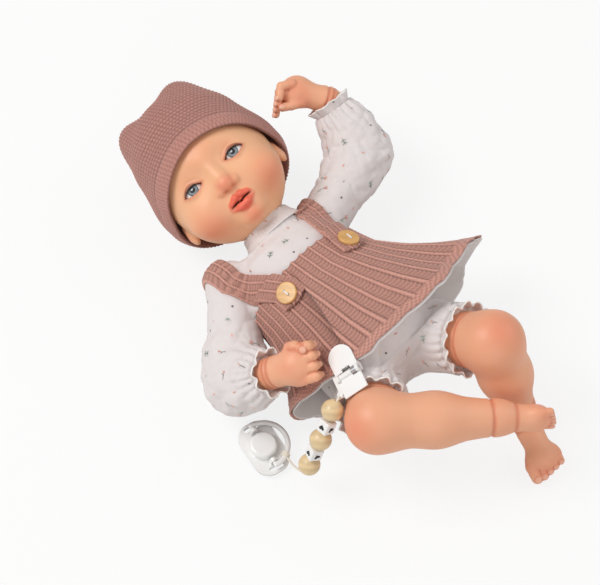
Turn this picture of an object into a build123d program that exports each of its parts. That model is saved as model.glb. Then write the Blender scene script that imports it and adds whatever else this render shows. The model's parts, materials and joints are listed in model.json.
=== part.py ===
"""Interactive baby doll lying on its back, with knitted clothes, a sound unit and a pacifier on a chain.

Units are millimetres.  +X is the doll's left, +Y points to its head, +Z is up, out of its chest.
The origin is on the surface it lies on, under the middle of its back.

The doll is about 420 mm tall when its legs are straight.  Its head and limbs are hollow vinyl
castings, each held by a flange that turns inside a cloth stub of the stuffed body and is closed by a
cable tie.  The clothes are plain closed shells that nest over the body with small gaps.
"""

from build123d import *
import math
import os

# ---- Clearances and walls ------------------------------------------------------------------
CLOTH_GAP = 0.4  # between two layers of cloth
TURN_GAP = 0.3  # round each flange and neck that turns
FIT_GAP = 0.2  # between moulded plastic pieces
VINYL = 2.2  # wall of the hollow castings
CASE_WALL = 2.0  # wall of the sound unit
BODY_CLOTH = 1.2  # cotton cover of the stuffed body
ROMPER_CLOTH = 1.4  # printed jersey with its seams
KNIT = 2.0  # knitted pinafore, straps and hat

# ---- Stuffed body --------------------------------------------------------------------------
BODY_Z = 42.0  # height of the body's middle line above the surface
# (station along Y, half width, half depth) of the stuffed body, neck to crotch
BODY_STATIONS = (
    (65.0, 20.0, 15.0),
    (60.5, 33.0, 23.0),
    (52.0, 42.0, 29.5),
    (35.0, 44.5, 36.0),
    (0.0, 45.0, 39.0),
    (-32.0, 47.0, 40.0),
    (-54.0, 44.5, 37.5),
    (-66.0, 35.0, 28.0),
    (-72.0, 21.0, 16.0),
)
SKIRT_BACK = 0.0  # the pinafore's back lies on the surface
ROMPER_BACK = SKIRT_BACK + KNIT + CLOTH_GAP
BODY_BACK = ROMPER_BACK + ROMPER_CLOTH + CLOTH_GAP

# ---- Head ----------------------------------------------------------------------------------
HEAD_CENTRE = Vector(9, 124, 59.5)
HEAD_PITCH = 12.0  # chin towards the chest
HEAD_YAW = -19.5  # turned to its right
CRANIUM = (45.0, 46.0, 52.0)  # half width, half height, half depth
CRANIUM_AT = (0.0, 8.0, -2.0)
JAW = (41.0, 36.0, 36.0)
JAW_AT = (0.0, -14.0, 10.0)
NECK_RADIUS = 15.0
NECK_TIE_AT = -50.0  # the tie, along the neck, from the head's centre
EYE_RADIUS = 8.6
EYE_AT = (19.0, -4.0, 34.5)
NOSE_AT = (0.0, -17.0, 45.5)
NOSE_RADIUS = 5.6
LIP_AT = (0.0, -31.0, 41.0)
EAR_AT = (43.0, -15.0, -3.0)
EAR = (3.6, 9.0, 5.5)
HAT_LEAN = 0.48  # rise of the hat's rim towards the face, per millimetre of depth
HAT_RIM = -8.0  # height of the rim at the ears
HAT_CROWN, HAT_CROWN_AT = (43.0, 44.0, 43.0), (0.0, 28.0, -6.0)
HAT_CORNER = (15.0, 19.0, 14.0)
HAT_CORNERS_AT = ((-21.0, 61.0, -8.0), (17.0, 62.0, -6.0))

# ---- Limbs: joint centres ------------------------------------------------------------------
SHOULDER_X, SHOULDER_Y, SHOULDER_Z = 46.0, 54.0, 44.0
HIP_X, HIP_Y, HIP_Z = 28.0, -61.0, 43.0
RIGHT_ELBOW = Vector(-86, 8, 31)
RIGHT_WRIST = Vector(-73, -17, 67)
RIGHT_FIST = Vector(-63, -28, 78)
LEFT_ELBOW = Vector(106, 75, 42)
LEFT_WRIST = Vector(108, 114, 66)
LEFT_PALM = Vector(95, 130, 74)
LEFT_TIPS = Vector(76, 141, 80)
RIGHT_KNEE = Vector(-52, -93, 73)
RIGHT_ANKLE = Vector(8, -143, 64)
RIGHT_TOES = Vector(33, -166, 60)
LEFT_KNEE = Vector(40, -110, 84)
LEFT_ANKLE = Vector(41, -138, 25)
LEFT_TOES = Vector(25, -186, 12)

# ---- Limb sizes ----------------------------------------------------------------------------
ARM_RADIUS, ELBOW_RADIUS, WRIST_RADIUS = 13.0, 13.0, 10.0
ARM_STUB, ARM_JOINT_AT = 14.0, 27.0  # cloth stub's outer radius; its lip, from the shoulder
LEG_RADIUS, KNEE_RADIUS, CALF_RADIUS, ANKLE_RADIUS = 18.8, 19.4, 17.0, 12.0
LEG_STUB, LEG_JOINT_AT = 19.0, 26.0
FLANGE_THICKNESS = 3.0
STUB_ROOT = -8.0  # where a limb's stub starts, inside the body, from the joint centre
LIP_THICKNESS = 2.0
NECK_STEP = 4.0  # how much a limb's neck is smaller than its stub
TIE_WIDTH, TIE_THICKNESS = 3.0, 1.4
SLEEVE_RADIUS, CUFF_RADIUS, FRILL_RADIUS = 20.0, 12.5, 16.0
SLEEVE_CAP_RADIUS = 18.0
COLLAR_RADIUS, COLLAR_HEIGHT = 24.4, 7.0
WAIST = -20.0
LEG_OPENING = LEG_STUB + 6.0  # outer radius of the romper's leg: room for the tie
LEG_OPENING_SHORT = {-1: 22.0, 1: 28.0}  # how far its edge stays short of the knee

# ---- Pinafore ------------------------------------------------------------------------------
# (station along Y, middle X, half width, half depth)
SKIRT_STATIONS = (
    (36.0, 0.0, 48.8, 41.0),
    (8.0, 2.0, 53.0, 44.0),
    (-12.0, 6.0, 61.0, 47.0),
    (-34.0, 11.0, 73.0, 50.5),
    (-58.0, 18.0, 86.8, 55.5),
)
SKIRT_TOP = 30.0  # the gathered edge across the chest
HEM_CORNERS = ((-200.0, 13.0), (-25.0, -58.0), (45.0, -58.0), (200.0, -2.0))  # the hem, from above
STRAP_WIDTH = 19.0
STRAP_X, STRAP_FRONT_END = 28.0, 5.0
BUTTON_RADIUS, BUTTON_THICKNESS, BUTTON_Y = 7.6, 2.6, 14.0
BUTTON_HOLE, BUTTON_HOLE_PITCH = 0.9, 4.2

# ---- Sound unit ----------------------------------------------------------------------------
CASE_X, CASE_Y, CASE_Z = 50.0, 58.0, 27.0
CASE_FLOOR = 15.5  # underside of the unit
CASE_SPLIT = 14.0  # height of the back shell
CASE_AT_Y = -6.0
CELL_RADIUS, CELL_LENGTH, CELL_COUNT = 5.25, 44.5, 3
DOOR_X, DOOR_Y, DOOR_THICKNESS = 34.4, 50.0, 1.6
BOARD_X, BOARD_Y, BOARD_THICKNESS = 45.0, 42.0, 1.6
BOARD_ABOVE_CELLS = 1.2
SPEAKER_RADIUS, SPEAKER_THICKNESS, SPEAKER_Y = 14.0, 6.0, 13.0
PRESS_RADIUS, PRESS_STROKE, PRESS_Y = 9.0, 2.5, -15.0
PRESS_PROUD = 3.5
SWITCH_X, SWITCH_Y, SWITCH_TRAVEL = 6.0, 4.0, 3.0
SCREW_RADIUS, SCREW_HEAD, CASE_POST = 1.2, 2.2, 3.2

# ---- Clip on the hem -----------------------------------------------------------------------
CLIP_AT, CLIP_ALONG = (-38.5, -46.3), (-0.375, -0.924, 0.0)  # middle of the jaw; its long axis
CLIP_LONG, CLIP_WIDE, CLIP_PLATE = 36.0, 18.0, 1.5
CLIP_JAW_MIDDLE, CLIP_HINGE = 8.5, 21.5  # from the rounded end
CLIP_GAP_FRONT, CLIP_GAP_BACK = 0.3, 0.8  # the jaws are flat and the cloth between them is curved
CLIP_CHEEK, CLIP_PIN_RADIUS, CLIP_PIN_Z = 2.4, 1.2, 1.6
CLIP_LOOP_AT, CLIP_LOOP_RADIUS = (30.5, -12.0, -0.4), 2.2  # where the cord is tied, beside the flap

# ---- Beads, cord and pacifier --------------------------------------------------------------
BEAD_RADIUS, CUBE_SIDE, BEAD_GAP = 7.5, 9.0, 0.1
FIRST_BEAD = Vector(-66.6, -66.0, 72.0)
CHAIN_RUNS = ((-0.66, -0.2, -0.72), (-0.52, -0.08, -0.85), (-0.52, -0.02, -0.85), (-0.46, -0.06, -0.885))
CORD_RADIUS, CORD_BORE, CORD_LEAD = 0.8, 1.4, 0.25  # lead: straight cord past the first bead
CORD_BEFORE_BEADS = (0.74, 0.16, 0.66)  # from the first bead back to the clip
CORD_AFTER_BEADS = (-0.50, 0.05, -0.86)  # on from the last bead
CORD_TO_HANDLE = Vector(-96.5, -57.0, 14.5)
PACIFIER_AT = Vector(-98.8, -31.0, 0.0)
PACIFIER_ALONG = (-0.22, -0.975, 0.0)
SHIELD_LONG, SHIELD_WIDE, SHIELD_THICKNESS, SHIELD_FLOOR = 42.0, 26.0, 2.6, 3.0
SHIELD_CORNER = 11.5
SHIELD_SLOT_LONG, SHIELD_SLOT_WIDE, SHIELD_SLOT_AT = 11.0, 3.4, 17.2
CAP_RADIUS, CAP_HEIGHT = 9.6, 6.6
HANDLE_RADIUS, HANDLE_TUBE, HANDLE_Z = 17.0, 1.8, 9.4
TRUNNION_RADIUS, TRUNNION_TIP = 1.4, 12.0
HANDLE_KNOT_TURN = 33.0  # where the cord is tied, round the handle from one trunnion
KNOT_RADIUS, KNOT_LONG, KNOT_GAP = 3.0, 4.4, 0.9


def unit(start, end):
    """Direction from one point to another."""
    return (end - start).normalized()


def plane_at(centre, normal, towards=Vector(0.13, 0.2, 1)):
    """A plane whose own X is as near as it can be to one fixed direction, so that lofts don't twist."""
    flat = towards - normal * towards.dot(normal)
    return Plane(origin=centre, x_dir=flat, z_dir=normal)


def rod(start, direction, near, far, radius):
    """A straight round rod along a direction, between two distances from a start point."""
    return Solid.make_cylinder(radius, far - near, plane_at(start + direction * near, direction))


def tube(start, direction, near, far, outer, inner):
    """A straight round tube."""
    return rod(start, direction, near, far, outer) - rod(start, direction, near - 1, far + 1, inner)


def box_between(low, high):
    """An upright box between two corners."""
    size = Vector(*high) - Vector(*low)
    middle = (Vector(*high) + Vector(*low)) * 0.5
    return Pos(middle.X, middle.Y, middle.Z) * Box(size.X, size.Y, size.Z)


def upright(radius, x, y, low, high):
    """An upright cylinder between two heights."""
    return Pos(x, y, (low + high) / 2) * Cylinder(radius, high - low)


def ball(centre, radius):
    """A sphere."""
    return Pos(centre.X, centre.Y, centre.Z) * Sphere(radius)


def body_loft(grow, stations=BODY_STATIONS):
    """The stuffed body's outline grown by a distance all round."""
    rings = [
        Plane(origin=(0, y, BODY_Z), x_dir=(1, 0, 0), z_dir=(0, -1, 0)) * Ellipse(w + grow, d + grow)
        for y, w, d in stations
    ]
    return loft(rings)


def above(z):
    """All the space over a height that the doll can reach."""
    return box_between((-200, -300, z), (200, 300, 200))


def slab(y_low, y_high):
    """All the space between two stations along the body."""
    return box_between((-200, y_low, -10), (200, y_high, 200))


# ---- Limb axes -----------------------------------------------------------------------------
SHOULDER = {s: Vector(s * SHOULDER_X, SHOULDER_Y, SHOULDER_Z) for s in (-1, 1)}
HIP = {s: Vector(s * HIP_X, HIP_Y, HIP_Z) for s in (-1, 1)}
ELBOW = {-1: RIGHT_ELBOW, 1: LEFT_ELBOW}
WRIST = {-1: RIGHT_WRIST, 1: LEFT_WRIST}
KNEE = {-1: RIGHT_KNEE, 1: LEFT_KNEE}
ANKLE = {-1: RIGHT_ANKLE, 1: LEFT_ANKLE}
TOES = {-1: RIGHT_TOES, 1: LEFT_TOES}
ARM_AXIS = {s: unit(SHOULDER[s], ELBOW[s]) for s in (-1, 1)}
LEG_AXIS = {s: unit(HIP[s], KNEE[s]) for s in (-1, 1)}
SIDE = {-1: "right", 1: "left"}


def head_axes():
    """Directions of the neck and of the face, from how the head is tipped and turned."""
    pitch, yaw = math.radians(HEAD_PITCH), math.radians(HEAD_YAW)
    neck = Vector(0, math.cos(pitch), math.sin(pitch))
    ahead = Vector(0, -math.sin(pitch), math.cos(pitch))
    return neck, ahead * math.cos(yaw) + neck.cross(ahead) * math.sin(yaw)


NECK_AXIS, FACE = head_axes()
HEAD_PLANE = Plane(origin=HEAD_CENTRE, x_dir=NECK_AXIS.cross(FACE), z_dir=FACE)


def head_point(x, y, z):
    """A point given in the head's own axes: left, crown and face."""
    return HEAD_PLANE.from_local_coords(Vector(x, y, z))


def head_ellipsoid(half, at, grow=0.0):
    """An ellipsoid in the head's own axes."""
    shape = scale(Sphere(1), by=tuple(h + grow for h in half))
    return HEAD_PLANE.location * (Pos(*at) * shape)


NODES = {}


def keep(name, shape):
    """Stores a finished piece under its node name."""
    NODES[name] = shape


# ---- The stuffed body and what closes it ---------------------------------------------------
def flange_joint(stub):
    """The rotating joint's sizes: (stub bore, neck radius, lip hole radius)."""
    bore = stub - BODY_CLOTH
    neck = stub - NECK_STEP
    return bore, neck, neck + TURN_GAP


def joints():
    """Each limb's start, axis, lip distance, stub radius and tie, and the neck's."""
    for s in (-1, 1):
        yield SHOULDER[s], ARM_AXIS[s], ARM_JOINT_AT, ARM_STUB, f"{SIDE[s]}_arm_tie"
        yield HIP[s], LEG_AXIS[s], LEG_JOINT_AT, LEG_STUB, f"{SIDE[s]}_leg_tie"
    yield HEAD_CENTRE - NECK_AXIS * 80, NECK_AXIS, 80 + NECK_TIE_AT, NECK_RADIUS + NECK_STEP, "neck_tie"


def stuffed_body():
    """Cotton cover with its five stubs, the stuffing inside it and the cable ties."""
    cover = body_loft(0)
    hollow = body_loft(-BODY_CLOTH)
    stuffing = body_loft(-BODY_CLOTH - CLOTH_GAP)
    for start, axis, at, stub, tie in joints():
        bore, _, hole = flange_joint(stub)
        chamber = at - LIP_THICKNESS
        near = chamber - FLANGE_THICKNESS - 4 * TURN_GAP
        root = STUB_ROOT if at < 50 else at - 14
        cover += rod(start, axis, root, at, stub)
        hollow += rod(start, axis, root, chamber, bore)
        hollow += rod(start, axis, chamber - 1, at + 1, hole)
        stuffing -= rod(start, axis, near, at + 30, bore)
        bed = stub + 0.1
        ring = tube(start, axis, chamber - 2 - TIE_WIDTH, chamber - 2, bed + TIE_THICKNESS, bed)
        side = plane_at(start + axis * (chamber - 2 - TIE_WIDTH / 2), axis)
        lock = side.location * (Pos(stub + TIE_THICKNESS + 0.2, 0, 0) * Box(1.6, 4.5, TIE_WIDTH))
        keep(tie, ring + (lock - rod(start, axis, 0, 200, bed)))
    cover = (cover - hollow) & above(BODY_BACK)
    floor = BODY_BACK + BODY_CLOTH
    sole = (body_loft(-0.1) & above(BODY_BACK)) - above(floor)
    cover = cover + sole
    stuffing = stuffing & above(floor + CLOTH_GAP)
    room_low, room_high = case_corners(FIT_GAP)
    stuffing -= box_between(room_low, room_high)
    stuffing -= Pos(0, CASE_AT_Y + PRESS_Y, CASE_FLOOR + CASE_Z) * Cylinder(
        PRESS_RADIUS + 1, 2 * (PRESS_PROUD + 1)
    )
    stuffing -= box_between(
        (CASE_X / 2, CASE_AT_Y - SWITCH_Y - SWITCH_TRAVEL - 2, room_low[2] + 4),
        (CASE_X / 2 + 3, CASE_AT_Y + SWITCH_Y + SWITCH_TRAVEL + 2, room_low[2] + 12),
    )
    keep("body_cover", cover)
    keep("body_stuffing", stuffing)


# ---- The sound unit ------------------------------------------------------------------------
def case_corners(grow=0.0):
    """Lowest and highest corner of the sound unit."""
    return (
        (-CASE_X / 2 - grow, CASE_AT_Y - CASE_Y / 2 - grow, CASE_FLOOR - grow),
        (CASE_X / 2 + grow, CASE_AT_Y + CASE_Y / 2 + grow, CASE_FLOOR + CASE_Z + grow),
    )


def sound_unit():
    """Casing, battery door, cells, contacts, board, speaker, press button, its spring and the switch."""
    low, high = case_corners()
    inner_low = tuple(v + CASE_WALL for v in low)
    inner_high = tuple(v - CASE_WALL for v in high)
    shell = box_between(low, high)
    shell = fillet(shell.edges().filter_by(Axis.Z), 4)
    shell -= box_between(inner_low, inner_high)
    split = CASE_FLOOR + CASE_SPLIT
    door_hole = Pos(0, CASE_AT_Y, CASE_FLOOR) * Box(DOOR_X, DOOR_Y, 4 * CASE_WALL)
    corner_x, corner_y = CASE_X / 2 - 4.2, CASE_Y / 2 - 4.2
    corners = [(x, CASE_AT_Y + y) for x in (-corner_x, corner_x) for y in (-corner_y, corner_y)]
    screw_top = split + 6
    shafts = [upright(SCREW_RADIUS, x, y, low[2], screw_top) for x, y in corners]
    heads = [upright(SCREW_HEAD, x, y, low[2], low[2] + 1.6) for x, y in corners]
    back = shell - above(split - 0.05)
    front = shell & above(split + 0.05)
    for x, y in corners:
        back += upright(CASE_POST, x, y, low[2] + 0.3, split - 0.05)
        front += upright(CASE_POST, x, y, split + 0.05, high[2] - 0.3)
    for x, y in corners:
        back -= upright(SCREW_RADIUS + FIT_GAP, x, y, low[2] - 1, split + 1)
        back -= upright(SCREW_HEAD + FIT_GAP, x, y, low[2] - 1, low[2] + 1.6 + FIT_GAP)
        front -= upright(SCREW_RADIUS + 0.02, x, y, split - 1, screw_top + FIT_GAP)
    back -= door_hole
    door_ledge = box_between(
        (-DOOR_X / 2 + 1, CASE_AT_Y + DOOR_Y / 2 - 3.6, inner_low[2]),
        (DOOR_X / 2 - 1, CASE_AT_Y + DOOR_Y / 2 + 2, inner_low[2] + 1.4),
    )
    back += door_ledge
    door_screw_y = CASE_AT_Y + DOOR_Y / 2 - 2.3
    door = Pos(0, CASE_AT_Y, CASE_FLOOR + DOOR_THICKNESS / 2) * Box(
        DOOR_X - 2 * FIT_GAP, DOOR_Y - 2 * FIT_GAP, DOOR_THICKNESS
    )
    door_screw = Pos(0, door_screw_y, CASE_FLOOR + 2) * Cylinder(SCREW_RADIUS, 4)
    door_screw += Pos(0, door_screw_y, CASE_FLOOR + 0.5) * Cylinder(SCREW_HEAD, 1)
    door -= Pos(0, door_screw_y, CASE_FLOOR + 0.5) * Cylinder(SCREW_HEAD + FIT_GAP, 1.02)
    door -= Pos(0, door_screw_y, CASE_FLOOR + 2) * Cylinder(SCREW_RADIUS + FIT_GAP, 4)
    back -= Pos(0, door_screw_y, CASE_FLOOR + 3) * Cylinder(SCREW_RADIUS + 0.02, 8)
    cell_z = CASE_FLOOR + CASE_WALL + FIT_GAP + CELL_RADIUS
    pitch = 2 * CELL_RADIUS + 2 * FIT_GAP
    cell_x = [(i - (CELL_COUNT - 1) / 2) * pitch for i in range(CELL_COUNT)]
    cell_y = CASE_AT_Y - 2.75
    cell = Rot(90, 0, 0) * Cylinder(CELL_RADIUS, CELL_LENGTH)
    nub = Rot(90, 0, 0) * Cylinder(2.4, CELL_LENGTH + 2)
    keep("battery_cells", Compound([Pos(x, cell_y, cell_z) * (cell + nub) for x in cell_x]))
    contact_y = CELL_LENGTH / 2 + 1 + FIT_GAP
    plates = [
        Pos(x, cell_y + e * (contact_y + 0.3), cell_z) * Box(8, 0.6, 8) for x in cell_x for e in (-1, 1)
    ]
    keep("battery_contacts", Compound(plates))
    board_z = cell_z + CELL_RADIUS + BOARD_ABOVE_CELLS + BOARD_THICKNESS / 2
    board = Pos(0, CASE_AT_Y, board_z) * Box(BOARD_X, BOARD_Y, BOARD_THICKNESS)
    tact = Pos(0, CASE_AT_Y + PRESS_Y, board_z + BOARD_THICKNESS / 2 + 1) * Box(6, 6, 2)
    chip = Pos(14, CASE_AT_Y - 8, board_z + BOARD_THICKNESS / 2 + 0.8) * Box(8, 8, 1.6)
    keep("circuit_board", board + tact + chip)
    top = inner_high[2]
    speaker_y = CASE_AT_Y + SPEAKER_Y
    cone = Pos(0, speaker_y, top - FIT_GAP - SPEAKER_THICKNESS / 2) * Cylinder(
        SPEAKER_RADIUS, SPEAKER_THICKNESS
    )
    magnet = Pos(0, speaker_y, top - FIT_GAP - SPEAKER_THICKNESS) * Cylinder(7, 4)
    keep("speaker", cone + magnet)
    front -= Pos(0, speaker_y, top) * Cylinder(1.1, 4 * CASE_WALL)
    for ring, count in ((4.2, 6), (8.0, 12)):
        for k in range(count):
            turn = 2 * math.pi * k / count
            front -= Pos(ring * math.cos(turn), speaker_y + ring * math.sin(turn), top) * Cylinder(
                1.1, 4 * CASE_WALL
            )
    press_y = CASE_AT_Y + PRESS_Y
    press_top = high[2] + PRESS_PROUD
    front -= Pos(0, press_y, top) * Cylinder(PRESS_RADIUS + FIT_GAP, 4 * CASE_WALL)
    tact_top = board_z + BOARD_THICKNESS / 2 + 2
    press = Pos(0, press_y, (top - 2 + press_top) / 2) * Cylinder(PRESS_RADIUS, press_top - top + 2)
    press += Pos(0, press_y, top - FIT_GAP - 0.9) * Cylinder(PRESS_RADIUS + 1.6, 1.4)
    press -= Pos(0, press_y, top) * Cylinder(PRESS_RADIUS - 2, 2 * PRESS_PROUD)
    stem_low = tact_top + PRESS_STROKE + 0.1
    press += Pos(0, press_y, (stem_low + press_top - 1) / 2) * Cylinder(2, press_top - 1 - stem_low)
    keep("press_button", press)
    spring_low, spring_high = board_z + BOARD_THICKNESS / 2, top - 2.1
    coil = tube(Vector(0, press_y, 0), Vector(0, 0, 1), spring_low + 0.02, spring_high, 6.6, 5.8)
    keep("button_spring", coil)
    switch_z = CASE_FLOOR + 8
    slot_y = (SWITCH_Y + SWITCH_TRAVEL) / 2 + FIT_GAP
    slot = box_between(
        (CASE_X / 2 - 2 * CASE_WALL, CASE_AT_Y - slot_y, switch_z - 2 - FIT_GAP),
        (CASE_X / 2 + 1, CASE_AT_Y + slot_y, switch_z + 2 + FIT_GAP),
    )
    back -= slot
    knob_y = CASE_AT_Y - SWITCH_TRAVEL / 2
    knob = Pos(CASE_X / 2 - 0.5, knob_y, switch_z) * Box(SWITCH_X - 2, SWITCH_Y, 4)
    knob += Pos(CASE_X / 2 - CASE_WALL - FIT_GAP - 0.6, knob_y, switch_z) * Box(1.2, SWITCH_Y + 3, 6)
    keep("power_switch", knob)
    keep("case_back", back)
    keep("case_front", front)
    keep("battery_door", door)
    keep("door_screw", door_screw)
    keep("case_screws", Compound([s + h for s, h in zip(shafts, heads)]))


# ---- The head ------------------------------------------------------------------------------
def head():
    """Hollow vinyl head with ears, nose, lips, eye sockets and its flanged neck, and the two eyes."""
    skull = head_ellipsoid(CRANIUM, CRANIUM_AT) + head_ellipsoid(JAW, JAW_AT)
    inside = head_ellipsoid(CRANIUM, CRANIUM_AT, -VINYL) + head_ellipsoid(JAW, JAW_AT, -VINYL)
    for s in (-1, 1):
        skull += head_ellipsoid(EAR, (s * EAR_AT[0], EAR_AT[1], EAR_AT[2]))
    skull += head_ellipsoid((NOSE_RADIUS, NOSE_RADIUS * 0.9, NOSE_RADIUS), NOSE_AT)
    skull += head_ellipsoid((9.5, 6.0, 5.0), LIP_AT)
    start, axis = HEAD_CENTRE, NECK_AXIS
    lip_near, lip_far = NECK_TIE_AT - LIP_THICKNESS, NECK_TIE_AT
    skull += rod(start, axis, lip_near - TURN_GAP - FLANGE_THICKNESS, -30, NECK_RADIUS)
    bore = NECK_RADIUS + NECK_STEP - BODY_CLOTH
    skull += rod(start, axis, lip_near - TURN_GAP - FLANGE_THICKNESS, lip_near - TURN_GAP, bore - TURN_GAP)
    skull -= rod(start, axis, lip_far, lip_far + TURN_GAP, 60) - rod(start, axis, -70, 0, NECK_RADIUS)
    inside += rod(start, axis, -80, -30, NECK_RADIUS - VINYL)
    shell = skull - inside
    for s in (-1, 1):
        shell -= ball(head_point(s * EYE_AT[0], EYE_AT[1], EYE_AT[2]), EYE_RADIUS + 0.1)
        socket = ball(head_point(s * EYE_AT[0], EYE_AT[1], EYE_AT[2]), EYE_RADIUS + 1.6)
        socket -= ball(head_point(s * EYE_AT[0], EYE_AT[1], EYE_AT[2]), EYE_RADIUS + 0.1)
        shell += socket & head_ellipsoid(JAW, JAW_AT, -0.3) & head_ellipsoid(CRANIUM, CRANIUM_AT, -0.3)
        keep(f"{SIDE[s]}_eye", ball(head_point(s * EYE_AT[0], EYE_AT[1], EYE_AT[2]), EYE_RADIUS))
    keep("head_shell", shell)
    magnet = HEAD_PLANE.location * (Pos(0, LIP_AT[1], 36.5) * Cylinder(5, 3))
    keep("mouth_magnet", magnet & inside)


def hat_form(grow):
    """The hat's outline: snug round the cranium, loose at the crown, with two soft corners."""
    form = head_ellipsoid(CRANIUM, CRANIUM_AT, grow) + head_ellipsoid(HAT_CROWN, HAT_CROWN_AT, grow)
    for x, y, z in HAT_CORNERS_AT:
        form += head_ellipsoid(HAT_CORNER, (x, y, z), grow)
    return form


def hat():
    """Knitted hat pulled down to the ears."""
    lean = math.degrees(math.atan(HAT_LEAN))
    over_rim = Pos(0, HAT_RIM, 0) * (Rot(-lean, 0, 0) * (Pos(0, 150, 0) * Box(300, 300, 300)))
    shell = (hat_form(CLOTH_GAP + KNIT) - hat_form(CLOTH_GAP)) & (HEAD_PLANE.location * over_rim)
    for s in (-1, 1):
        shell -= head_ellipsoid(EAR, (s * EAR_AT[0], EAR_AT[1], EAR_AT[2]), CLOTH_GAP)
    keep("hat", shell)


# ---- Limbs ---------------------------------------------------------------------------------
def flange_and_neck(start, axis, at, stub):
    """The turned end of a limb, from its flange to just past the stub's lip, and the bore through it."""
    bore, neck, _ = flange_joint(stub)
    face = at - LIP_THICKNESS - TURN_GAP
    solid = rod(start, axis, face - FLANGE_THICKNESS, face, bore - TURN_GAP)
    solid += rod(start, axis, face - FLANGE_THICKNESS, at + TURN_GAP + 1, neck)
    return solid, rod(start, axis, face - FLANGE_THICKNESS - 1, at + TURN_GAP + 2 * VINYL, neck - VINYL)


def chain_of(points, radii, round_end=False):
    """A smooth bent solid: cones between points, with a ball at every bend."""
    solid = None
    for k, (a, b) in enumerate(zip(points, points[1:])):
        piece = taper(a, b, radii[k], radii[k + 1])
        solid = piece if solid is None else solid + piece
    bends = range(1, len(points) if round_end else len(points) - 1)
    for k in bends:
        solid += ball(points[k], radii[k] * 1.01)
    return solid


def taper(a, b, radius_a, radius_b):
    """A round length between two points that narrows evenly."""
    if abs(radius_a - radius_b) < 0.01:
        return rod(a, unit(a, b), 0, (b - a).length, radius_a)
    return Solid.make_cone(radius_a, radius_b, (b - a).length, plane_at(a, unit(a, b)))


def hollow_limb(points, radii, joint, wall=VINYL):
    """A hollow casting along a bent line, with its flange."""
    solid, bore = flange_and_neck(*joint)
    core = list(points)
    core[0] = points[0] + unit(points[0], points[1]) * wall
    core[-1] = points[-1] - unit(points[-2], points[-1]) * wall
    return (chain_of(points, radii) + solid) - chain_of(core, [r - wall for r in radii]) - bore


def arm(s):
    """A bent arm from the joint at mid upper arm to the wrist."""
    start, axis, elbow, wrist = SHOULDER[s], ARM_AXIS[s], ELBOW[s], WRIST[s]
    first = start + axis * (ARM_JOINT_AT + TURN_GAP)
    radii = [ARM_RADIUS, ELBOW_RADIUS, WRIST_RADIUS]
    return hollow_limb([first, elbow, wrist], radii, (start, axis, ARM_JOINT_AT, ARM_STUB))


def finger(points, radius):
    """A finger as short round lengths between balls."""
    solid = ball(points[0], radius)
    for a, b in zip(points, points[1:]):
        solid += rod(a, unit(a, b), 0, (b - a).length, radius * 0.97)
        solid += ball(b, radius)
    return solid


def right_fist():
    """A closed hand: palm block and four curled fingers, with the thumb over them."""
    along = unit(RIGHT_WRIST, RIGHT_FIST)
    across = along.cross(Vector(-0.33, -0.33, 0.88)).normalized()
    back = across.cross(along).normalized()
    far = RIGHT_FIST + along * 6
    hand = chain_of([RIGHT_WRIST - along * 2, RIGHT_FIST, far], [WRIST_RADIUS - 0.4, 13.5, 11.5], True)
    for k in range(4):
        side = across * (k - 1.5) * 7.0
        knuckle = RIGHT_FIST + along * 6 + side + back * 2
        bend = knuckle + along * 9 - back * 2
        tip = bend - back * 8 - along * 3
        hand += finger([knuckle, bend, tip], 4.0)
    thumb = RIGHT_FIST - across * 13
    hand += finger([thumb, thumb + along * 9 + back * 4], 4.2)
    return hand


def left_hand():
    """An open hand seen from the thumb's side, with the fingers curled down towards the thumb."""
    along = unit(LEFT_PALM, LEFT_TIPS)
    across = along.cross(Vector(-0.33, -0.33, 0.88)).normalized()
    back = across.cross(along).normalized()
    spread = (back * 0.75 + across * 0.65).normalized()
    far = LEFT_PALM + along * 7
    hand = chain_of([LEFT_WRIST - along * 2, LEFT_PALM, far], [WRIST_RADIUS - 0.4, 11.5, 9.0], True)
    for k in range(4):
        knuckle = LEFT_PALM + along * 7 + spread * (1.5 - k) * 5.4
        bend = knuckle + along * 9 - across * 1.5
        tip = bend + along * 2 - across * 8.5
        hand += finger([knuckle, bend, tip], 3.2)
    thumb = LEFT_PALM - across * 8 + back * 3
    hand += finger([thumb, thumb + along * 15 - across * 3], 3.8)
    return hand


def leg(s):
    """A bent leg from the joint at mid thigh to the ankle, with its foot and toes."""
    start, axis, knee, ankle, toes = HIP[s], LEG_AXIS[s], KNEE[s], ANKLE[s], TOES[s]
    shin = unit(knee, ankle)
    first = start + axis * (LEG_JOINT_AT + TURN_GAP)
    calf = knee + (ankle - knee) * 0.5
    radii = [LEG_RADIUS, KNEE_RADIUS, CALF_RADIUS, ANKLE_RADIUS]
    solid = hollow_limb([first, knee, calf, ankle], radii, (start, axis, LEG_JOINT_AT, LEG_STUB))
    along = unit(ankle, toes)
    across = along.cross(shin).normalized()
    reach = (toes - ankle).length
    heel = ankle + shin * 3
    ball_of_foot = heel + along * reach * 0.72
    solid += chain_of([ankle - shin * 2, heel, ball_of_foot], [ANKLE_RADIUS - 0.5, 11.0, 9.0], True)
    for k in range(5):
        side = across * (k - 2) * 5.4
        base = heel + along * (reach * 0.72 + 5) + side * 0.85
        solid += finger([base, base + along * (7.0 - 0.7 * abs(k - 1))], 3.6 - 0.2 * k)
    return solid


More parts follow.
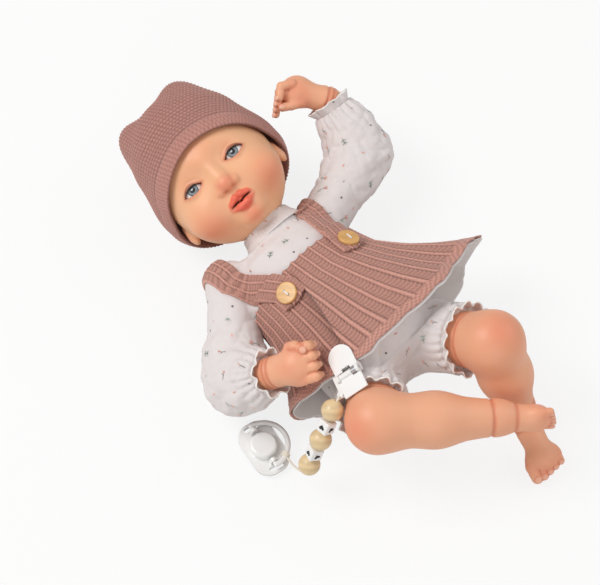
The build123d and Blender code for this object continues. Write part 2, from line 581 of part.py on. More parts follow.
# ---- Clothes -------------------------------------------------------------------------------
def romper_form(grow, past):
    """The romper's outline: the body, both sleeve heads and both legs, grown by a distance."""
    form = body_loft(CLOTH_GAP + ROMPER_CLOTH + grow)
    for s in (-1, 1):
        leg_edge = (KNEE[s] - HIP[s]).length - LEG_OPENING_SHORT[s]
        form += rod(SHOULDER[s], ARM_AXIS[s], STUB_ROOT, ARM_JOINT_AT - 0.2 + past, SLEEVE_CAP_RADIUS + grow)
        form += rod(HIP[s], LEG_AXIS[s], STUB_ROOT, leg_edge + past, LEG_OPENING + grow)
    return form


def romper():
    """Printed jersey romper: the top with its sleeve heads, the shorts, the collar, and two sleeves."""
    outside = romper_form(0, 0) & above(ROMPER_BACK)
    inside = romper_form(-ROMPER_CLOTH, 1) & above(ROMPER_BACK + ROMPER_CLOTH)
    start = HEAD_CENTRE - NECK_AXIS * 80
    cloth = outside - inside - rod(start, NECK_AXIS, 0, 80, COLLAR_RADIUS + CLOTH_GAP / 2)
    keep("romper_top", cloth & slab(WAIST, 100))
    keep("romper_shorts", cloth & slab(-200, WAIST - 0.02))
    edge = 80 + NECK_TIE_AT
    inner = COLLAR_RADIUS - ROMPER_CLOTH
    keep("romper_collar", tube(start, NECK_AXIS, edge - COLLAR_HEIGHT, edge, COLLAR_RADIUS, inner))
    for s in (-1, 1):
        keep(f"{SIDE[s]}_sleeve", sleeve(s))


def sleeve(s):
    """A full sleeve over the bent arm, drawn in at the cuff and ending in a frill."""
    start, axis, elbow, wrist = SHOULDER[s], ARM_AXIS[s], ELBOW[s], WRIST[s]
    fore = unit(elbow, wrist)
    first = start + axis * (ARM_JOINT_AT + TURN_GAP)
    cuff, edge = wrist - fore * 9, wrist - fore * 3
    points = [first, elbow, cuff, edge]
    radii = [SLEEVE_CAP_RADIUS, SLEEVE_RADIUS, CUFF_RADIUS, FRILL_RADIUS]
    core = [first - axis, elbow, cuff, edge + fore]
    core_radii = [r - ROMPER_CLOTH for r in radii]
    outside = chain_of(points[:3], radii[:3]) + taper(cuff, edge, CUFF_RADIUS, FRILL_RADIUS)
    inside = chain_of(core[:3], core_radii[:3]) + taper(cuff, core[3], core_radii[2], core_radii[3])
    return outside - inside


def skirt_outline(grow):
    """The pinafore's flared outline grown by a distance."""
    rings = [
        Plane(origin=(x, y, BODY_Z), x_dir=(1, 0, 0), z_dir=(0, -1, 0)) * Ellipse(w + grow, d + grow)
        for y, x, w, d in SKIRT_STATIONS
    ]
    return loft(rings, ruled=True)


def armhole(s):
    """Room for the head of a sleeve."""
    return rod(SHOULDER[s], ARM_AXIS[s], STUB_ROOT - 4, 60, SLEEVE_CAP_RADIUS + CLOTH_GAP)


def strap(s):
    """A strap from the back of the skirt over the shoulder, ending in a tab on the skirt's front."""
    low = CLOTH_GAP + ROMPER_CLOTH + CLOTH_GAP
    over = (body_loft(low + KNIT) & above(SKIRT_BACK)) - (body_loft(low) & above(ROMPER_BACK))
    raised = skirt_outline(CLOTH_GAP + KNIT)
    step = SKIRT_TOP + 0.05
    left, right = s * STRAP_X - STRAP_WIDTH / 2, s * STRAP_X + STRAP_WIDTH / 2
    column = box_between((left, step, -1), (right, 90, 120))
    front = box_between((left, STRAP_FRONT_END, BODY_Z), (right, step + 3, 120))
    tab = (raised - skirt_outline(CLOTH_GAP)) & front
    riser = (raised - body_loft(low)) & box_between((left, step, BODY_Z), (right, step + 3, 120))
    room = armhole(s)
    neck = rod(HEAD_CENTRE - NECK_AXIS * 80, NECK_AXIS, 0, 60, COLLAR_RADIUS + CLOTH_GAP)
    whole = ((over & column) + tab + riser) - room - neck
    return max(whole.solids(), key=lambda piece: piece.volume)


def pinafore():
    """Flared knitted skirt, two shoulder straps, two wooden buttons and their thread."""
    outer = skirt_outline(0) & above(SKIRT_BACK)
    inner = skirt_outline(-KNIT) & above(SKIRT_BACK + KNIT)
    corners = [(-200, SKIRT_TOP), *HEM_CORNERS, (200, SKIRT_TOP)]
    cut = Pos(0, 0, -10) * extrude(make_face(Polyline(*corners, close=True)), 200)
    keep("pinafore_skirt", ((outer - inner) & cut) - armhole(-1) - armhole(1))
    for s in (-1, 1):
        keep(f"{SIDE[s]}_strap", strap(s))
        seat = CLOTH_GAP + KNIT + 0.05
        place = skirt_plane(s * STRAP_X, BUTTON_Y).location
        button = Cylinder(BUTTON_RADIUS, BUTTON_THICKNESS)
        button = fillet(button.edges(), 0.8)
        thread = Pos(0, 0, BUTTON_THICKNESS / 2 + 0.35) * Box(0.9, BUTTON_HOLE_PITCH, 0.6)
        for e in (-1, 1):
            hole = Pos(0, e * BUTTON_HOLE_PITCH / 2, 0)
            button -= hole * Cylinder(BUTTON_HOLE, 2 * BUTTON_THICKNESS)
            thread += hole * (Pos(0, 0, 0.15) * Cylinder(0.5, BUTTON_THICKNESS + 0.3))
        lift = Pos(0, 0, seat + BUTTON_THICKNESS / 2)
        keep(f"{SIDE[s]}_button", place * (lift * button))
        keep(f"{SIDE[s]}_button_thread", place * (lift * thread))


def skirt_section(y):
    """Middle X, half width and half depth of the skirt's outside at a station."""
    rows = SKIRT_STATIONS
    for (y1, *a), (y0, *b) in zip(rows, rows[1:]):
        if y <= y1 and y >= y0:
            t = (y1 - y) / (y1 - y0)
            return [p + (q - p) * t for p, q in zip(a, b)]
    return list(rows[-1][1:])


def skirt_top(x, y):
    """Height of the skirt's front at a place."""
    middle, width, depth = skirt_section(y)
    return BODY_Z + depth * math.sqrt(1 - ((x - middle) / width) ** 2)


def skirt_plane(x, y, along=None):
    """A plane that touches the skirt's front at a place; its X runs along a direction, or across."""
    h = 1.0
    slope_x = (skirt_top(x + h, y) - skirt_top(x - h, y)) / (2 * h)
    slope_y = (skirt_top(x, y + h) - skirt_top(x, y - h)) / (2 * h)
    out = Vector(-slope_x, -slope_y, 1).normalized()
    way = Vector(1, 0, 0) if along is None else along
    return Plane(origin=(x, y, skirt_top(x, y)), x_dir=way - out * way.dot(out), z_dir=out)


# ---- The pacifier and its chain ------------------------------------------------------------
def clip_plane():
    """The clip's own plane: it touches the skirt under the middle of the jaw."""
    touch = skirt_plane(CLIP_AT[0], CLIP_AT[1], Vector(*CLIP_ALONG))
    end = touch.from_local_coords(Vector(-CLIP_JAW_MIDDLE, 0, 0))
    return Plane(origin=end, x_dir=touch.x_dir, z_dir=touch.z_dir)


CLIP_PLANE = clip_plane()
PACIFIER_PLANE = Plane(origin=PACIFIER_AT, x_dir=Vector(*PACIFIER_ALONG), z_dir=(0, 0, 1))
CLIP_BACK_LOW = -KNIT - CLIP_GAP_BACK - CLIP_PLATE


def across_rod(x, z, radius, low, high):
    """A round rod along the clip's own Y."""
    return Pos(x, (low + high) / 2, z) * (Rot(90, 0, 0) * Cylinder(radius, high - low))


def clip():
    """Plastic clip on the hem: body with both jaws, flap, pin and spring."""
    half, inside = CLIP_WIDE / 2, CLIP_WIDE / 2 - CLIP_CHEEK
    hinge, pin_z, low = CLIP_HINGE, CLIP_PIN_Z, CLIP_BACK_LOW
    front_low, front_high = CLIP_GAP_FRONT, CLIP_GAP_FRONT + CLIP_PLATE
    body = box_between((2, -half + 2, low), (hinge - 4, half - 2, low + CLIP_PLATE))
    body += box_between((hinge - 5, -half, low), (hinge + 1, half, low + CLIP_PLATE))
    front = Pos(half, 0, (front_low + front_high) / 2) * Cylinder(half, CLIP_PLATE)
    front += box_between((half, -half, front_low), (hinge, half, front_high))
    front -= box_between((hinge - 5, -3.2, -5), (hinge + 9, 3.2, 5))
    front -= box_between((hinge - 3, -inside, -5), (hinge + 9, inside, 5))
    body += front
    for near, far in ((-half, -inside), (inside, half)):
        body += box_between((hinge - 5, near, low), (hinge + 1, far, pin_z))
        body += across_rod(hinge, pin_z, 2.8, near, far)
    loop_x, loop_y, loop_z = CLIP_LOOP_AT
    body += box_between((hinge - 4, loop_y, loop_z - 1), (hinge + 0.8, -half + 0.5, loop_z + 1))
    body += box_between((hinge, loop_y, loop_z - 1), (loop_x, -half - 0.4, loop_z + 1))
    body += Pos(*CLIP_LOOP_AT) * Cylinder(CLIP_LOOP_RADIUS, 2)
    room = inside - FIT_GAP
    coil_from = room - 3.2
    loose = across_rod(hinge, pin_z, CLIP_PIN_RADIUS + FIT_GAP, -half - 1, half + 1)
    flap_low, flap_high = pin_z - 0.6, pin_z - 0.6 + CLIP_PLATE
    lever = across_rod(hinge, pin_z, 2.3, -room, coil_from - FIT_GAP)
    lever += box_between((hinge, -room, flap_low), (hinge + 3.6, coil_from - FIT_GAP, flap_high))
    lever += box_between((hinge + 3.3, -half, flap_low), (CLIP_LONG, half, flap_high))
    place = CLIP_PLANE.location
    keep("clip_body", place * (body - across_rod(hinge, pin_z, CLIP_PIN_RADIUS + 0.02, -half - 1, half + 1)))
    keep("clip_pin", place * across_rod(hinge, pin_z, CLIP_PIN_RADIUS, -half, half))
    keep("clip_lever", place * (lever - loose))
    keep("clip_spring", place * (across_rod(hinge, pin_z, 2.2, coil_from, room) - loose))


def chain_stops():
    """Centres of bead, cube, bead, cube and bead along the cord."""
    step = BEAD_RADIUS + CUBE_SIDE / 2 + BEAD_GAP
    stops = [FIRST_BEAD]
    for run in CHAIN_RUNS:
        stops.append(stops[-1] + Vector(*run).normalized() * step)
    return stops


def knot_plane():
    """Where the cord is tied round the handle; its Z runs along the handle."""
    turn = math.radians(HANDLE_KNOT_TURN)
    out = Vector(math.cos(turn), math.sin(turn), 0)
    along = Vector(-math.sin(turn), math.cos(turn), 0)
    local = Plane(origin=out * HANDLE_RADIUS + Vector(0, 0, HANDLE_Z), x_dir=out, z_dir=along)
    return PACIFIER_PLANE * local.location


def cord_points():
    """Where the cord bends, from the clip's lug to the knot on the handle."""
    loop = CLIP_PLANE.from_local_coords(Vector(*CLIP_LOOP_AT))
    knot = Vector(*Plane(knot_plane()).origin)
    stops = chain_stops()
    before = stops[0] + Vector(*CORD_BEFORE_BEADS).normalized() * (BEAD_RADIUS + CORD_LEAD)
    after = stops[-1] + Vector(*CORD_AFTER_BEADS).normalized() * (BEAD_RADIUS + 2.5)
    start = loop + unit(loop, before) * (CLIP_LOOP_RADIUS - 0.2)
    end = knot - unit(CORD_TO_HANDLE, knot) * (KNOT_RADIUS + KNOT_GAP)
    return [start, before, *stops, after, CORD_TO_HANDLE, end]


def pacifier_chain():
    """Three wooden beads and two cubes threaded on a cord, the cord and its knot."""
    points = cord_points()
    runs = [(b - a).length for a, b in zip(points, points[1:])]
    ways = [unit(a, b) for a, b in zip(points, points[1:])]
    radii = []
    for k in range(1, len(runs)):
        turn = math.acos(min(1.0, ways[k - 1].dot(ways[k])))
        radii.append(round(0.45 * min(runs[k - 1], runs[k]) / math.tan(turn / 2), 2))
    line = FilletPolyline(*points, radius=radii)
    cord = sweep(Plane(origin=line @ 0, z_dir=line % 0) * Circle(CORD_RADIUS), path=line)
    print("cord radii", radii, "runs", [round(r, 1) for r in runs])
    straight = math.pi * CORD_RADIUS**2 * line.length
    print("cord length", round(line.length, 2), "volume over section times length", cord.volume / straight)
    print("cord points", [tuple(round(v, 2) for v in p) for p in points])
    keep("chain_cord", cord)
    names = ("bead_1", "cube_1", "bead_2", "cube_2", "bead_3")
    for name, stop, near, far in zip(names, chain_stops(), ways[1:], ways[2:]):
        way = (near + far).normalized()
        piece = Sphere(BEAD_RADIUS)
        if name.startswith("cube"):
            piece = fillet(Box(CUBE_SIDE, CUBE_SIDE, CUBE_SIDE).edges(), 1)
        bored = piece - Cylinder(CORD_BORE, 3 * BEAD_RADIUS)
        keep(f"chain_{name}", plane_at(stop, way).location * bored)
    knot = Cylinder(KNOT_RADIUS, KNOT_LONG) - Cylinder(HANDLE_TUBE + 0.3, KNOT_LONG + 1)
    keep("handle_knot", knot_plane() * knot)


def pacifier():
    """Pacifier: shield with its lugs, cap, magnet underneath and the folding handle."""
    place = PACIFIER_PLANE.location
    middle = SHIELD_FLOOR + SHIELD_THICKNESS / 2
    top = SHIELD_FLOOR + SHIELD_THICKNESS
    outline = RectangleRounded(SHIELD_LONG, SHIELD_WIDE, SHIELD_CORNER)
    shield = Pos(0, 0, SHIELD_FLOOR) * extrude(outline, SHIELD_THICKNESS)
    slot = extrude(SlotOverall(SHIELD_SLOT_LONG, SHIELD_SLOT_WIDE, rotation=90), 6, both=True)
    handle = Pos(0, 0, HANDLE_Z) * Torus(HANDLE_RADIUS, HANDLE_TUBE)
    handle = handle & box_between((-30, 0, 0), (30, 30, 30))
    for e in (-1, 1):
        shield -= Pos(e * SHIELD_SLOT_AT, 0, middle) * slot
        near, far = TRUNNION_TIP - 0.2, TRUNNION_TIP + 2.4
        lug = box_between((min(e * near, e * far), -2.6, top - 0.5), (max(e * near, e * far), 2.6, HANDLE_Z))
        lug += Pos(e * (near + far) / 2, 0, HANDLE_Z) * (Rot(0, 90, 0) * Cylinder(2.6, far - near))
        bore = Pos(e * 13, 0, HANDLE_Z) * (Rot(0, 90, 0) * Cylinder(TRUNNION_RADIUS + FIT_GAP, 8))
        shield = (shield + lug) - bore
        handle += Pos(e * (TRUNNION_TIP + HANDLE_RADIUS) / 2, 0, HANDLE_Z) * (
            Rot(0, 90, 0) * Cylinder(TRUNNION_RADIUS, HANDLE_RADIUS - TRUNNION_TIP)
        )
        handle += Pos(e * HANDLE_RADIUS, 0, HANDLE_Z) * Sphere(HANDLE_TUBE * 1.01)
    cap = Pos(0, 0, top + CAP_HEIGHT / 2) * Cylinder(CAP_RADIUS, CAP_HEIGHT)
    cap = fillet(cap.edges().sort_by(Axis.Z)[-1], 2.2)
    magnet = Pos(0, 0, SHIELD_FLOOR / 2 + 0.1) * Cylinder(6, SHIELD_FLOOR - 0.2)
    keep("pacifier_shield", place * shield)
    keep("pacifier_cap", place * cap)
    keep("pacifier_magnet", place * magnet)
    keep("pacifier_handle", place * handle)


if __name__ == "__main__":
    os.makedirs("parts", exist_ok=True)
    sound_unit()
    stuffed_body()
    head()
    hat()
    for s in (-1, 1):
        hand = right_fist() if s < 0 else left_hand()
        keep(f"{SIDE[s]}_arm", arm(s) + hand)
        keep(f"{SIDE[s]}_leg", leg(s))
    romper()
    pinafore()
    clip()
    pacifier_chain()
    pacifier()
    for name, shape in NODES.items():
        export_step(shape, f"parts/{name}.step")
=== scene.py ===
"""Interactive baby doll: skin, face, clothes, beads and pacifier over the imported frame.

Lengths inside this script are millimetres in the frame's own axes; meshes are written in metres.
"""

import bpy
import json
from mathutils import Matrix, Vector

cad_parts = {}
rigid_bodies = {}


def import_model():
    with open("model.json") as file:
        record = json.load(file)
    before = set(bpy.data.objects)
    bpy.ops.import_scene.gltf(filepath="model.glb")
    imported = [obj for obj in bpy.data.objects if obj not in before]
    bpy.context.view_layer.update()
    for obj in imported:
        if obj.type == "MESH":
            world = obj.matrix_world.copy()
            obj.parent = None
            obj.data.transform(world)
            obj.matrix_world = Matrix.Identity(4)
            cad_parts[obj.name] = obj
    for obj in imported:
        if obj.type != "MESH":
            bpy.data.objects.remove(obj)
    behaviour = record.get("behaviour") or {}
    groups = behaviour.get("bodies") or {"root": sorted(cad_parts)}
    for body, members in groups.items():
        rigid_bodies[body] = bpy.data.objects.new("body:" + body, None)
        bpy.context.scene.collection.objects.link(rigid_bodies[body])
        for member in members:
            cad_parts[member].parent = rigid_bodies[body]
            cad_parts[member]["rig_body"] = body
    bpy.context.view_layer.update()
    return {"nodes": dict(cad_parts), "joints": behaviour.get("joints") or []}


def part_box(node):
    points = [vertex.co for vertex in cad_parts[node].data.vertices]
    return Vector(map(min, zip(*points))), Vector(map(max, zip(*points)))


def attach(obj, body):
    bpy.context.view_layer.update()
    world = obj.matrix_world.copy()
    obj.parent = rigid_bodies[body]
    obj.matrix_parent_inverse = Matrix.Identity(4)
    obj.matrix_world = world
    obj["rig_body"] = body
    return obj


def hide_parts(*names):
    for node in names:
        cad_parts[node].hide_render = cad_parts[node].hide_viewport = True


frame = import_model()

import json
import logging
import math
from dataclasses import dataclass, field
from enum import Enum
from typing import Callable, Dict, List, Optional, Sequence, Tuple

import bpy
import numpy as np
from mathutils import Vector
from mathutils.bvhtree import BVHTree

LOG = logging.getLogger("doll")
Array = np.ndarray
Field = Callable[[Array], Array]
MM = 0.001


# ---- Numbers shared with the frame -----------------------------------------------------------
def vec(*values: float) -> Array:
    """A point or direction.

    Args:
        values: its three numbers.
    Returns:
        The same as an array.
    """
    return np.array(values, float)


def unit(way: Array) -> Array:
    """A direction of length one.

    Args:
        way: any direction.
    Returns:
        The same direction, one long.
    """
    return way / np.linalg.norm(way)


JOINTS = {joint["name"]: joint for joint in frame["joints"]}


def pivot(name: str) -> Array:
    """Where a joint turns, in millimetres."""
    return np.array(JOINTS[name]["pos_m"]) * 1000


SIDES = {-1: "right", 1: "left"}
SHOULDER = {s: pivot(f"{SIDES[s]}_arm_twist") for s in SIDES}
HIP = {s: pivot(f"{SIDES[s]}_leg_twist") for s in SIDES}
HEAD_CENTRE = pivot("neck_turn")
NECK_AXIS = unit(np.array(JOINTS["neck_turn"]["axis"]))
NECK = HEAD_CENTRE - NECK_AXIS * 55
HEAD_YAW = math.radians(-19.5)
FORWARD = vec(0, -NECK_AXIS[2], NECK_AXIS[1])
FACE = FORWARD * math.cos(HEAD_YAW) + np.cross(NECK_AXIS, FORWARD) * math.sin(HEAD_YAW)
HEAD_AXES = np.array([np.cross(NECK_AXIS, FACE), NECK_AXIS, FACE])
ELBOW = {-1: vec(-86, 8, 31), 1: vec(106, 75, 42)}
WRIST = {-1: vec(-73, -17, 67), 1: vec(108, 114, 66)}
RIGHT_FIST, LEFT_PALM, LEFT_TIPS = vec(-63, -28, 78), vec(95, 130, 74), vec(76, 141, 80)
KNEE = {-1: vec(-52, -93, 73), 1: vec(40, -110, 84)}
ANKLE = {-1: vec(8, -143, 64), 1: vec(41, -138, 25)}
TOES = {-1: vec(33, -166, 60), 1: vec(25, -186, 12)}
LEG_OPENING = 25.0
OPENING_SHORT = {-1: 22.0, 1: 28.0}
CUFF_BACK = 9.0
BODY_Z = 42.0
BODY_STATIONS = np.array(
    [
        (65, 20, 15), (60.5, 33, 23), (52, 42, 29.5), (35, 44.5, 36), (0, 45, 39),
        (-32, 47, 40), (-54, 44.5, 37.5), (-66, 35, 28), (-72, 21, 16),
    ],
    float,
)
SKIRT_STATIONS = np.array(
    [
        (36, 0, 48.8, 41), (8, 2, 53, 44), (-12, 6, 61, 47), (-34, 11, 73, 50.5), (-58, 18, 86.8, 55.5),
    ],
    float,
)
SKIRT_TOP = 30.0
HEM = np.array([(-200, 13), (-25, -58), (45, -58), (200, -2)], float)
STRAP_X, STRAP_WIDTH, STRAP_END = 28.0, 19.0, 5.0
COLLAR_RADIUS = 24.4
CLIP_MIDDLE = vec(-38.5, -46.3, 0)


# ---- Fields: signed distances in millimetres -------------------------------------------------
def join(a: Array, b: Array, soft: float) -> Array:
    """The union of two fields with a rounded seam.

    Args:
        a: distances to the first form.
        b: distances to the second form.
        soft: width of the rounding.
    Returns:
        Distances to both together.
    """
    h = np.clip(0.5 + 0.5 * (b - a) / soft, 0, 1)
    return b + (a - b) * h - soft * h * (1 - h)


def carve(a: Array, b: Array, soft: float) -> Array:
    """A form with another cut out of it, with a rounded edge."""
    return -join(-a, b, soft)


def within(a: Array, b: Array, soft: float) -> Array:
    """What two forms share, with a rounded edge."""
    return -join(-a, -b, soft)


def ball(p: Array, centre: Sequence[float], radius: float) -> Array:
    """Distance to a sphere."""
    return np.linalg.norm(p - np.asarray(centre, p.dtype), axis=1) - radius


def oval(p: Array, centre: Sequence[float], radii: Sequence[float], axes: Optional[Array] = None) -> Array:
    """Distance to an ellipsoid.

    Args:
        p: points.
        centre: its middle.
        radii: its three half sizes.
        axes: its own directions as rows, or None when they are the frame's.
    Returns:
        Distances, near enough for blending.
    """
    q = p - np.asarray(centre, p.dtype)
    if axes is not None:
        q = q @ axes.T.astype(p.dtype)
    r = np.asarray(radii, p.dtype)
    near = np.linalg.norm(q / r, axis=1)
    slope = np.linalg.norm(q / (r * r), axis=1)
    return near * (near - 1) / np.maximum(slope, 1e-6)


def rod(p: Array, a: Array, b: Array, radius_a: float, radius_b: float) -> Array:
    """Distance to a round-ended rod that narrows evenly between two points."""
    a, way = np.asarray(a, p.dtype), np.asarray(b - np.asarray(a), p.dtype)
    t = np.clip(((p - a) @ way) / float(way @ way), 0, 1)
    return np.linalg.norm(p - a - t[:, None] * way, axis=1) - (radius_a + (radius_b - radius_a) * t)


def chain(p: Array, points: Sequence[Array], radii: Sequence[float], soft: float) -> Array:
    """Distance to rods joined end to end."""
    total = rod(p, points[0], points[1], radii[0], radii[1])
    for k in range(1, len(points) - 1):
        total = join(total, rod(p, points[k], points[k + 1], radii[k], radii[k + 1]), soft)
    return total


def round_section(q: Array, middle: Array, wide: Array, deep: Array) -> Array:
    """Distance to an oval section round the body's middle height.

    Args:
        q: points.
        middle: the section's middle at each point.
        wide: its half width there.
        deep: its half depth there.
    Returns:
        Distances within the section's plane, near enough for blending.
    """
    around = np.sqrt(((q[:, 0] - middle) / wide) ** 2 + ((q[:, 2] - BODY_Z) / deep) ** 2)
    return (around - 1) * np.minimum(wide, deep)


def body_field(p: Array) -> Array:
    """Distance to the stuffed body."""

    def raw(q: Array) -> Array:
        y = q[:, 1]
        rows = BODY_STATIONS[::-1]
        wide = np.interp(y, rows[:, 0], rows[:, 1])
        deep = np.interp(y, rows[:, 0], rows[:, 2])
        return round_section(q, 0, wide, deep)

    step = 0.6
    ways = np.eye(3, dtype=p.dtype) * step
    slopes = [(raw(p + way) - raw(p - way)) / (2 * step) for way in ways]
    steep = np.sqrt(sum(g * g for g in slopes))
    side = raw(p) / np.maximum(steep, 0.35)
    ends = np.abs(p[:, 1] + 3.5) - 68.5
    return within(side, ends, 5.0)


def waves(p: Array, seed: int, longest: float, shortest: float, count: int = 9) -> Array:
    """A sum of slanted waves that stands for soft folds; about -1 to 1.

    Args:
        p: points.
        seed: fixes the folds.
        longest: largest wavelength.
        shortest: smallest wavelength.
        count: number of waves.
    Returns:
        One height for each point.
    """
    dice = np.random.default_rng(seed)
    total = np.zeros(len(p), p.dtype)
    for _ in range(count):
        way = unit(dice.normal(size=3)).astype(p.dtype)
        length = longest * (shortest / longest) ** dice.random()
        other = unit(dice.normal(size=3)).astype(p.dtype)
        bend = 1.5 * np.sin(p @ other * (3.0 / length) + dice.random() * 6)
        fold = np.sin(p @ way * (math.pi / length) + bend + dice.random() * 6)
        total += (1 - 2 * np.abs(fold)) * length
    return total / (longest * count * 0.35)


def cross_axes(axis: Array) -> Tuple[Array, Array]:
    """Two directions square to an axis and to each other."""
    side = unit(np.cross(axis, vec(0.31, 0.22, 0.92)))
    return side, np.cross(axis, side)


def circle(side: Array, other: Array, turn: Array) -> Array:
    """Directions round the axis that two others are square to.

    Args:
        side: where the turn starts.
        other: a quarter turn on.
        turn: the angles, in radians.
    Returns:
        One direction for each angle.
    """
    return side * np.cos(turn)[:, None] + other * np.sin(turn)[:, None]


def full_turn(count: int) -> Array:
    """Angles evenly round a full turn."""
    return np.linspace(0, 2 * math.pi, count, endpoint=False)


def ring_angle(p: Array, start: Array, axis: Array) -> Tuple[Array, Array]:
    """Where points are round an axis.

    Args:
        p: points.
        start: a point on the axis.
        axis: its direction, one long.
    Returns:
        The angle round it and the distance along it.
    """
    side, other = cross_axes(axis)
    q = p - start.astype(p.dtype)
    return np.arctan2(q @ other.astype(p.dtype), q @ side.astype(p.dtype)), q @ axis.astype(p.dtype)


@dataclass
class Net:
    """A closed mesh: points in millimetres and faces of four."""

    points: Array
    faces: Array

    def placed(self, axes: Array, centre: Array) -> "Net":
        """The same mesh moved from a local frame into the doll's."""
        return Net(self.points @ axes + centre, self.faces)


def fine_values(shape: Field, axes: List[Array], cell: float) -> Array:
    """A field's values on a grid, worked out only near its surface.

    Args:
        shape: the field.
        axes: the grid's coordinates.
        cell: the grid's step.
    Returns:
        One value for each grid point.
    """
    block = 4
    sizes = [len(a) for a in axes]
    mids = [a[::block] + cell * (block - 1) / 2 for a in axes]
    grid = np.stack(np.meshgrid(*mids, indexing="ij"), -1).reshape(-1, 3).astype(np.float32)
    coarse = shape(grid).reshape([len(m) for m in mids])
    for k in range(3):
        coarse = np.repeat(coarse, block, axis=k)
    values = coarse[: sizes[0], : sizes[1], : sizes[2]].astype(np.float32).copy()
    near = np.abs(values) < cell * block * 2.2
    index = np.nonzero(near)
    spots = np.stack([axes[k][index[k]] for k in range(3)], -1).astype(np.float32)
    parts = [shape(chunk) for chunk in np.array_split(spots, max(1, len(spots) // 400000))]
    values[near] = np.concatenate(parts)
    return values


def crossed_faces(k: int, cross: Array, inside: Array, number: Array) -> Array:
    """The faces round the grid edges that run one way and cross the surface.

    Args:
        k: the way that the edges run.
        cross: which edges cross it.
        inside: which of them start inside.
        number: the point of each grid cell.
    Returns:
        The faces, turned outward.
    """
    i, j = [m for m in range(3) if m != k]
    if (j - i) % 3 != 1:
        i, j = j, i
    keep = cross.copy()
    for m in (i, j):
        edge = [slice(None)] * 3
        for side in (0, -1):
            edge[m] = side
            keep[tuple(edge)] = False
    at = np.stack(np.nonzero(keep), -1)
    flip = inside[keep]
    corners = []
    for di, dj in ((1, 1), (0, 1), (0, 0), (1, 0)):
        c = at.copy()
        c[:, i] -= di
        c[:, j] -= dj
        corners.append(number[c[:, 0], c[:, 1], c[:, 2]])
    quad = np.stack(corners, -1)
    quad[~flip] = quad[~flip][:, ::-1]
    return quad


def surface(shape: Field, low: Array, high: Array, cell: float, tidy: int = 2) -> Net:
    """The closed surface where a field is zero.

    Args:
        shape: the field, negative inside.
        low: lowest corner to look in.
        high: highest corner to look in.
        cell: grid step.
        tidy: how many times the points are drawn onto the exact surface.
    Returns:
        Its mesh, faces outward.
    """
    axes = [np.arange(low[k], high[k] + cell, cell) for k in range(3)]
    v = fine_values(shape, axes, cell)
    n = [s - 1 for s in v.shape]
    total, weight = np.zeros((*n, 3), np.float32), np.zeros(n, np.float32)
    marks = []
    base = np.stack(np.meshgrid(*[np.arange(s) for s in v.shape], indexing="ij"), -1).astype(np.float32)
    for k in range(3):
        a = np.moveaxis(v, k, 0)
        first, second = np.moveaxis(a[:-1], 0, k), np.moveaxis(a[1:], 0, k)
        cross = (first < 0) != (second < 0)
        t = np.where(cross, first / np.where(cross, first - second, 1), 0)
        at = base[tuple(slice(0, s) for s in first.shape)].copy()
        at[..., k] += t
        at *= cross[..., None]
        marks.append((cross, first < 0))
        i, j = [m for m in range(3) if m != k]
        for di, dj in ((0, 0), (0, 1), (1, 0), (1, 1)):
            cut = [slice(None)] * 3
            cut[i] = slice(di, di + n[i])
            cut[j] = slice(dj, dj + n[j])
            total += at[tuple(cut)]
            weight += cross[tuple(cut)]
    active = weight > 0
    number = np.full(n, -1, np.int64)
    number[active] = np.arange(active.sum())
    points = total[active] / weight[active][:, None] * cell + np.asarray(low, np.float32)
    faces = [crossed_faces(k, cross, inside, number) for k, (cross, inside) in enumerate(marks)]
    net = Net(points.astype(np.float32), np.concatenate(faces))
    for _ in range(tidy):
        net.points = relaxed(net)
        net.points = drawn_on(shape, net.points, cell)
    return net


def relaxed(net: Net, share: float = 0.5) -> Array:
    """Every point moved part of the way to the middle of its neighbours."""
    total, count = np.zeros_like(net.points), np.zeros(len(net.points), np.float32)
    for k in range(4):
        a, b = net.faces[:, k], net.faces[:, (k + 1) % 4]
        for here, there in ((a, b), (b, a)):
            for m in range(3):
                total[:, m] += np.bincount(here, net.points[there, m], len(count))
            count += np.bincount(here, minlength=len(count))
    middle = total / np.maximum(count, 1)[:, None]
    return net.points + (middle - net.points) * share


def drawn_on(shape: Field, points: Array, cell: float) -> Array:
    """Points moved onto the surface of a field."""
    step = 0.25 * cell
    value = shape(points)
    slope = np.stack(
        [
            (shape(points + step * row) - shape(points - step * row)) / (2 * step)
            for row in np.eye(3, dtype=np.float32)
        ],
        -1,
    )
    size = np.maximum((slope**2).sum(1), 0.25)
    move = -slope * (value / size)[:, None]
    far = np.linalg.norm(move, axis=1, keepdims=True)
    return (points + move * np.minimum(1, 0.8 * cell / np.maximum(far, 1e-6))).astype(np.float32)


def lattice(rows: Array, wrap_rows: bool = False) -> Net:
    """A closed band: rows of points, each row a closed ring, joined in order.

    Args:
        rows: points as (row, place round it, 3).
        wrap_rows: True when the last row joins the first; otherwise both ends are capped.
    Returns:
        Its mesh, faces outward when the rings turn left seen along the rows.
    """
    m, n = rows.shape[:2]
    at = np.arange(m * n).reshape(m, n)
    faces = []
    last = m if wrap_rows else m - 1
    for r in range(last):
        a, b = at[r], at[(r + 1) % m]
        faces.append(np.stack([a, np.roll(a, -1), np.roll(b, -1), b], -1))
    points = rows.reshape(-1, 3)
    if not wrap_rows:
        ends = np.stack([rows[0].mean(0), rows[-1].mean(0)])
        first, second = len(points), len(points) + 1
        points = np.concatenate([points, ends])
        a, b = at[0], at[-1]
        faces.append(np.stack([np.roll(a, -1), a, np.full(n, first), np.full(n, first)], -1))
        faces.append(np.stack([b, np.roll(b, -1), np.full(n, second), np.full(n, second)], -1))
    return Net(points.astype(np.float32), np.concatenate(faces))


# ---- Meshes ----------------------------------------------------------------------------------
def linear(value: float) -> float:
    """One sRGB channel as linear light."""
    return value / 12.92 if value <= 0.04045 else ((value + 0.055) / 1.055) ** 2.4


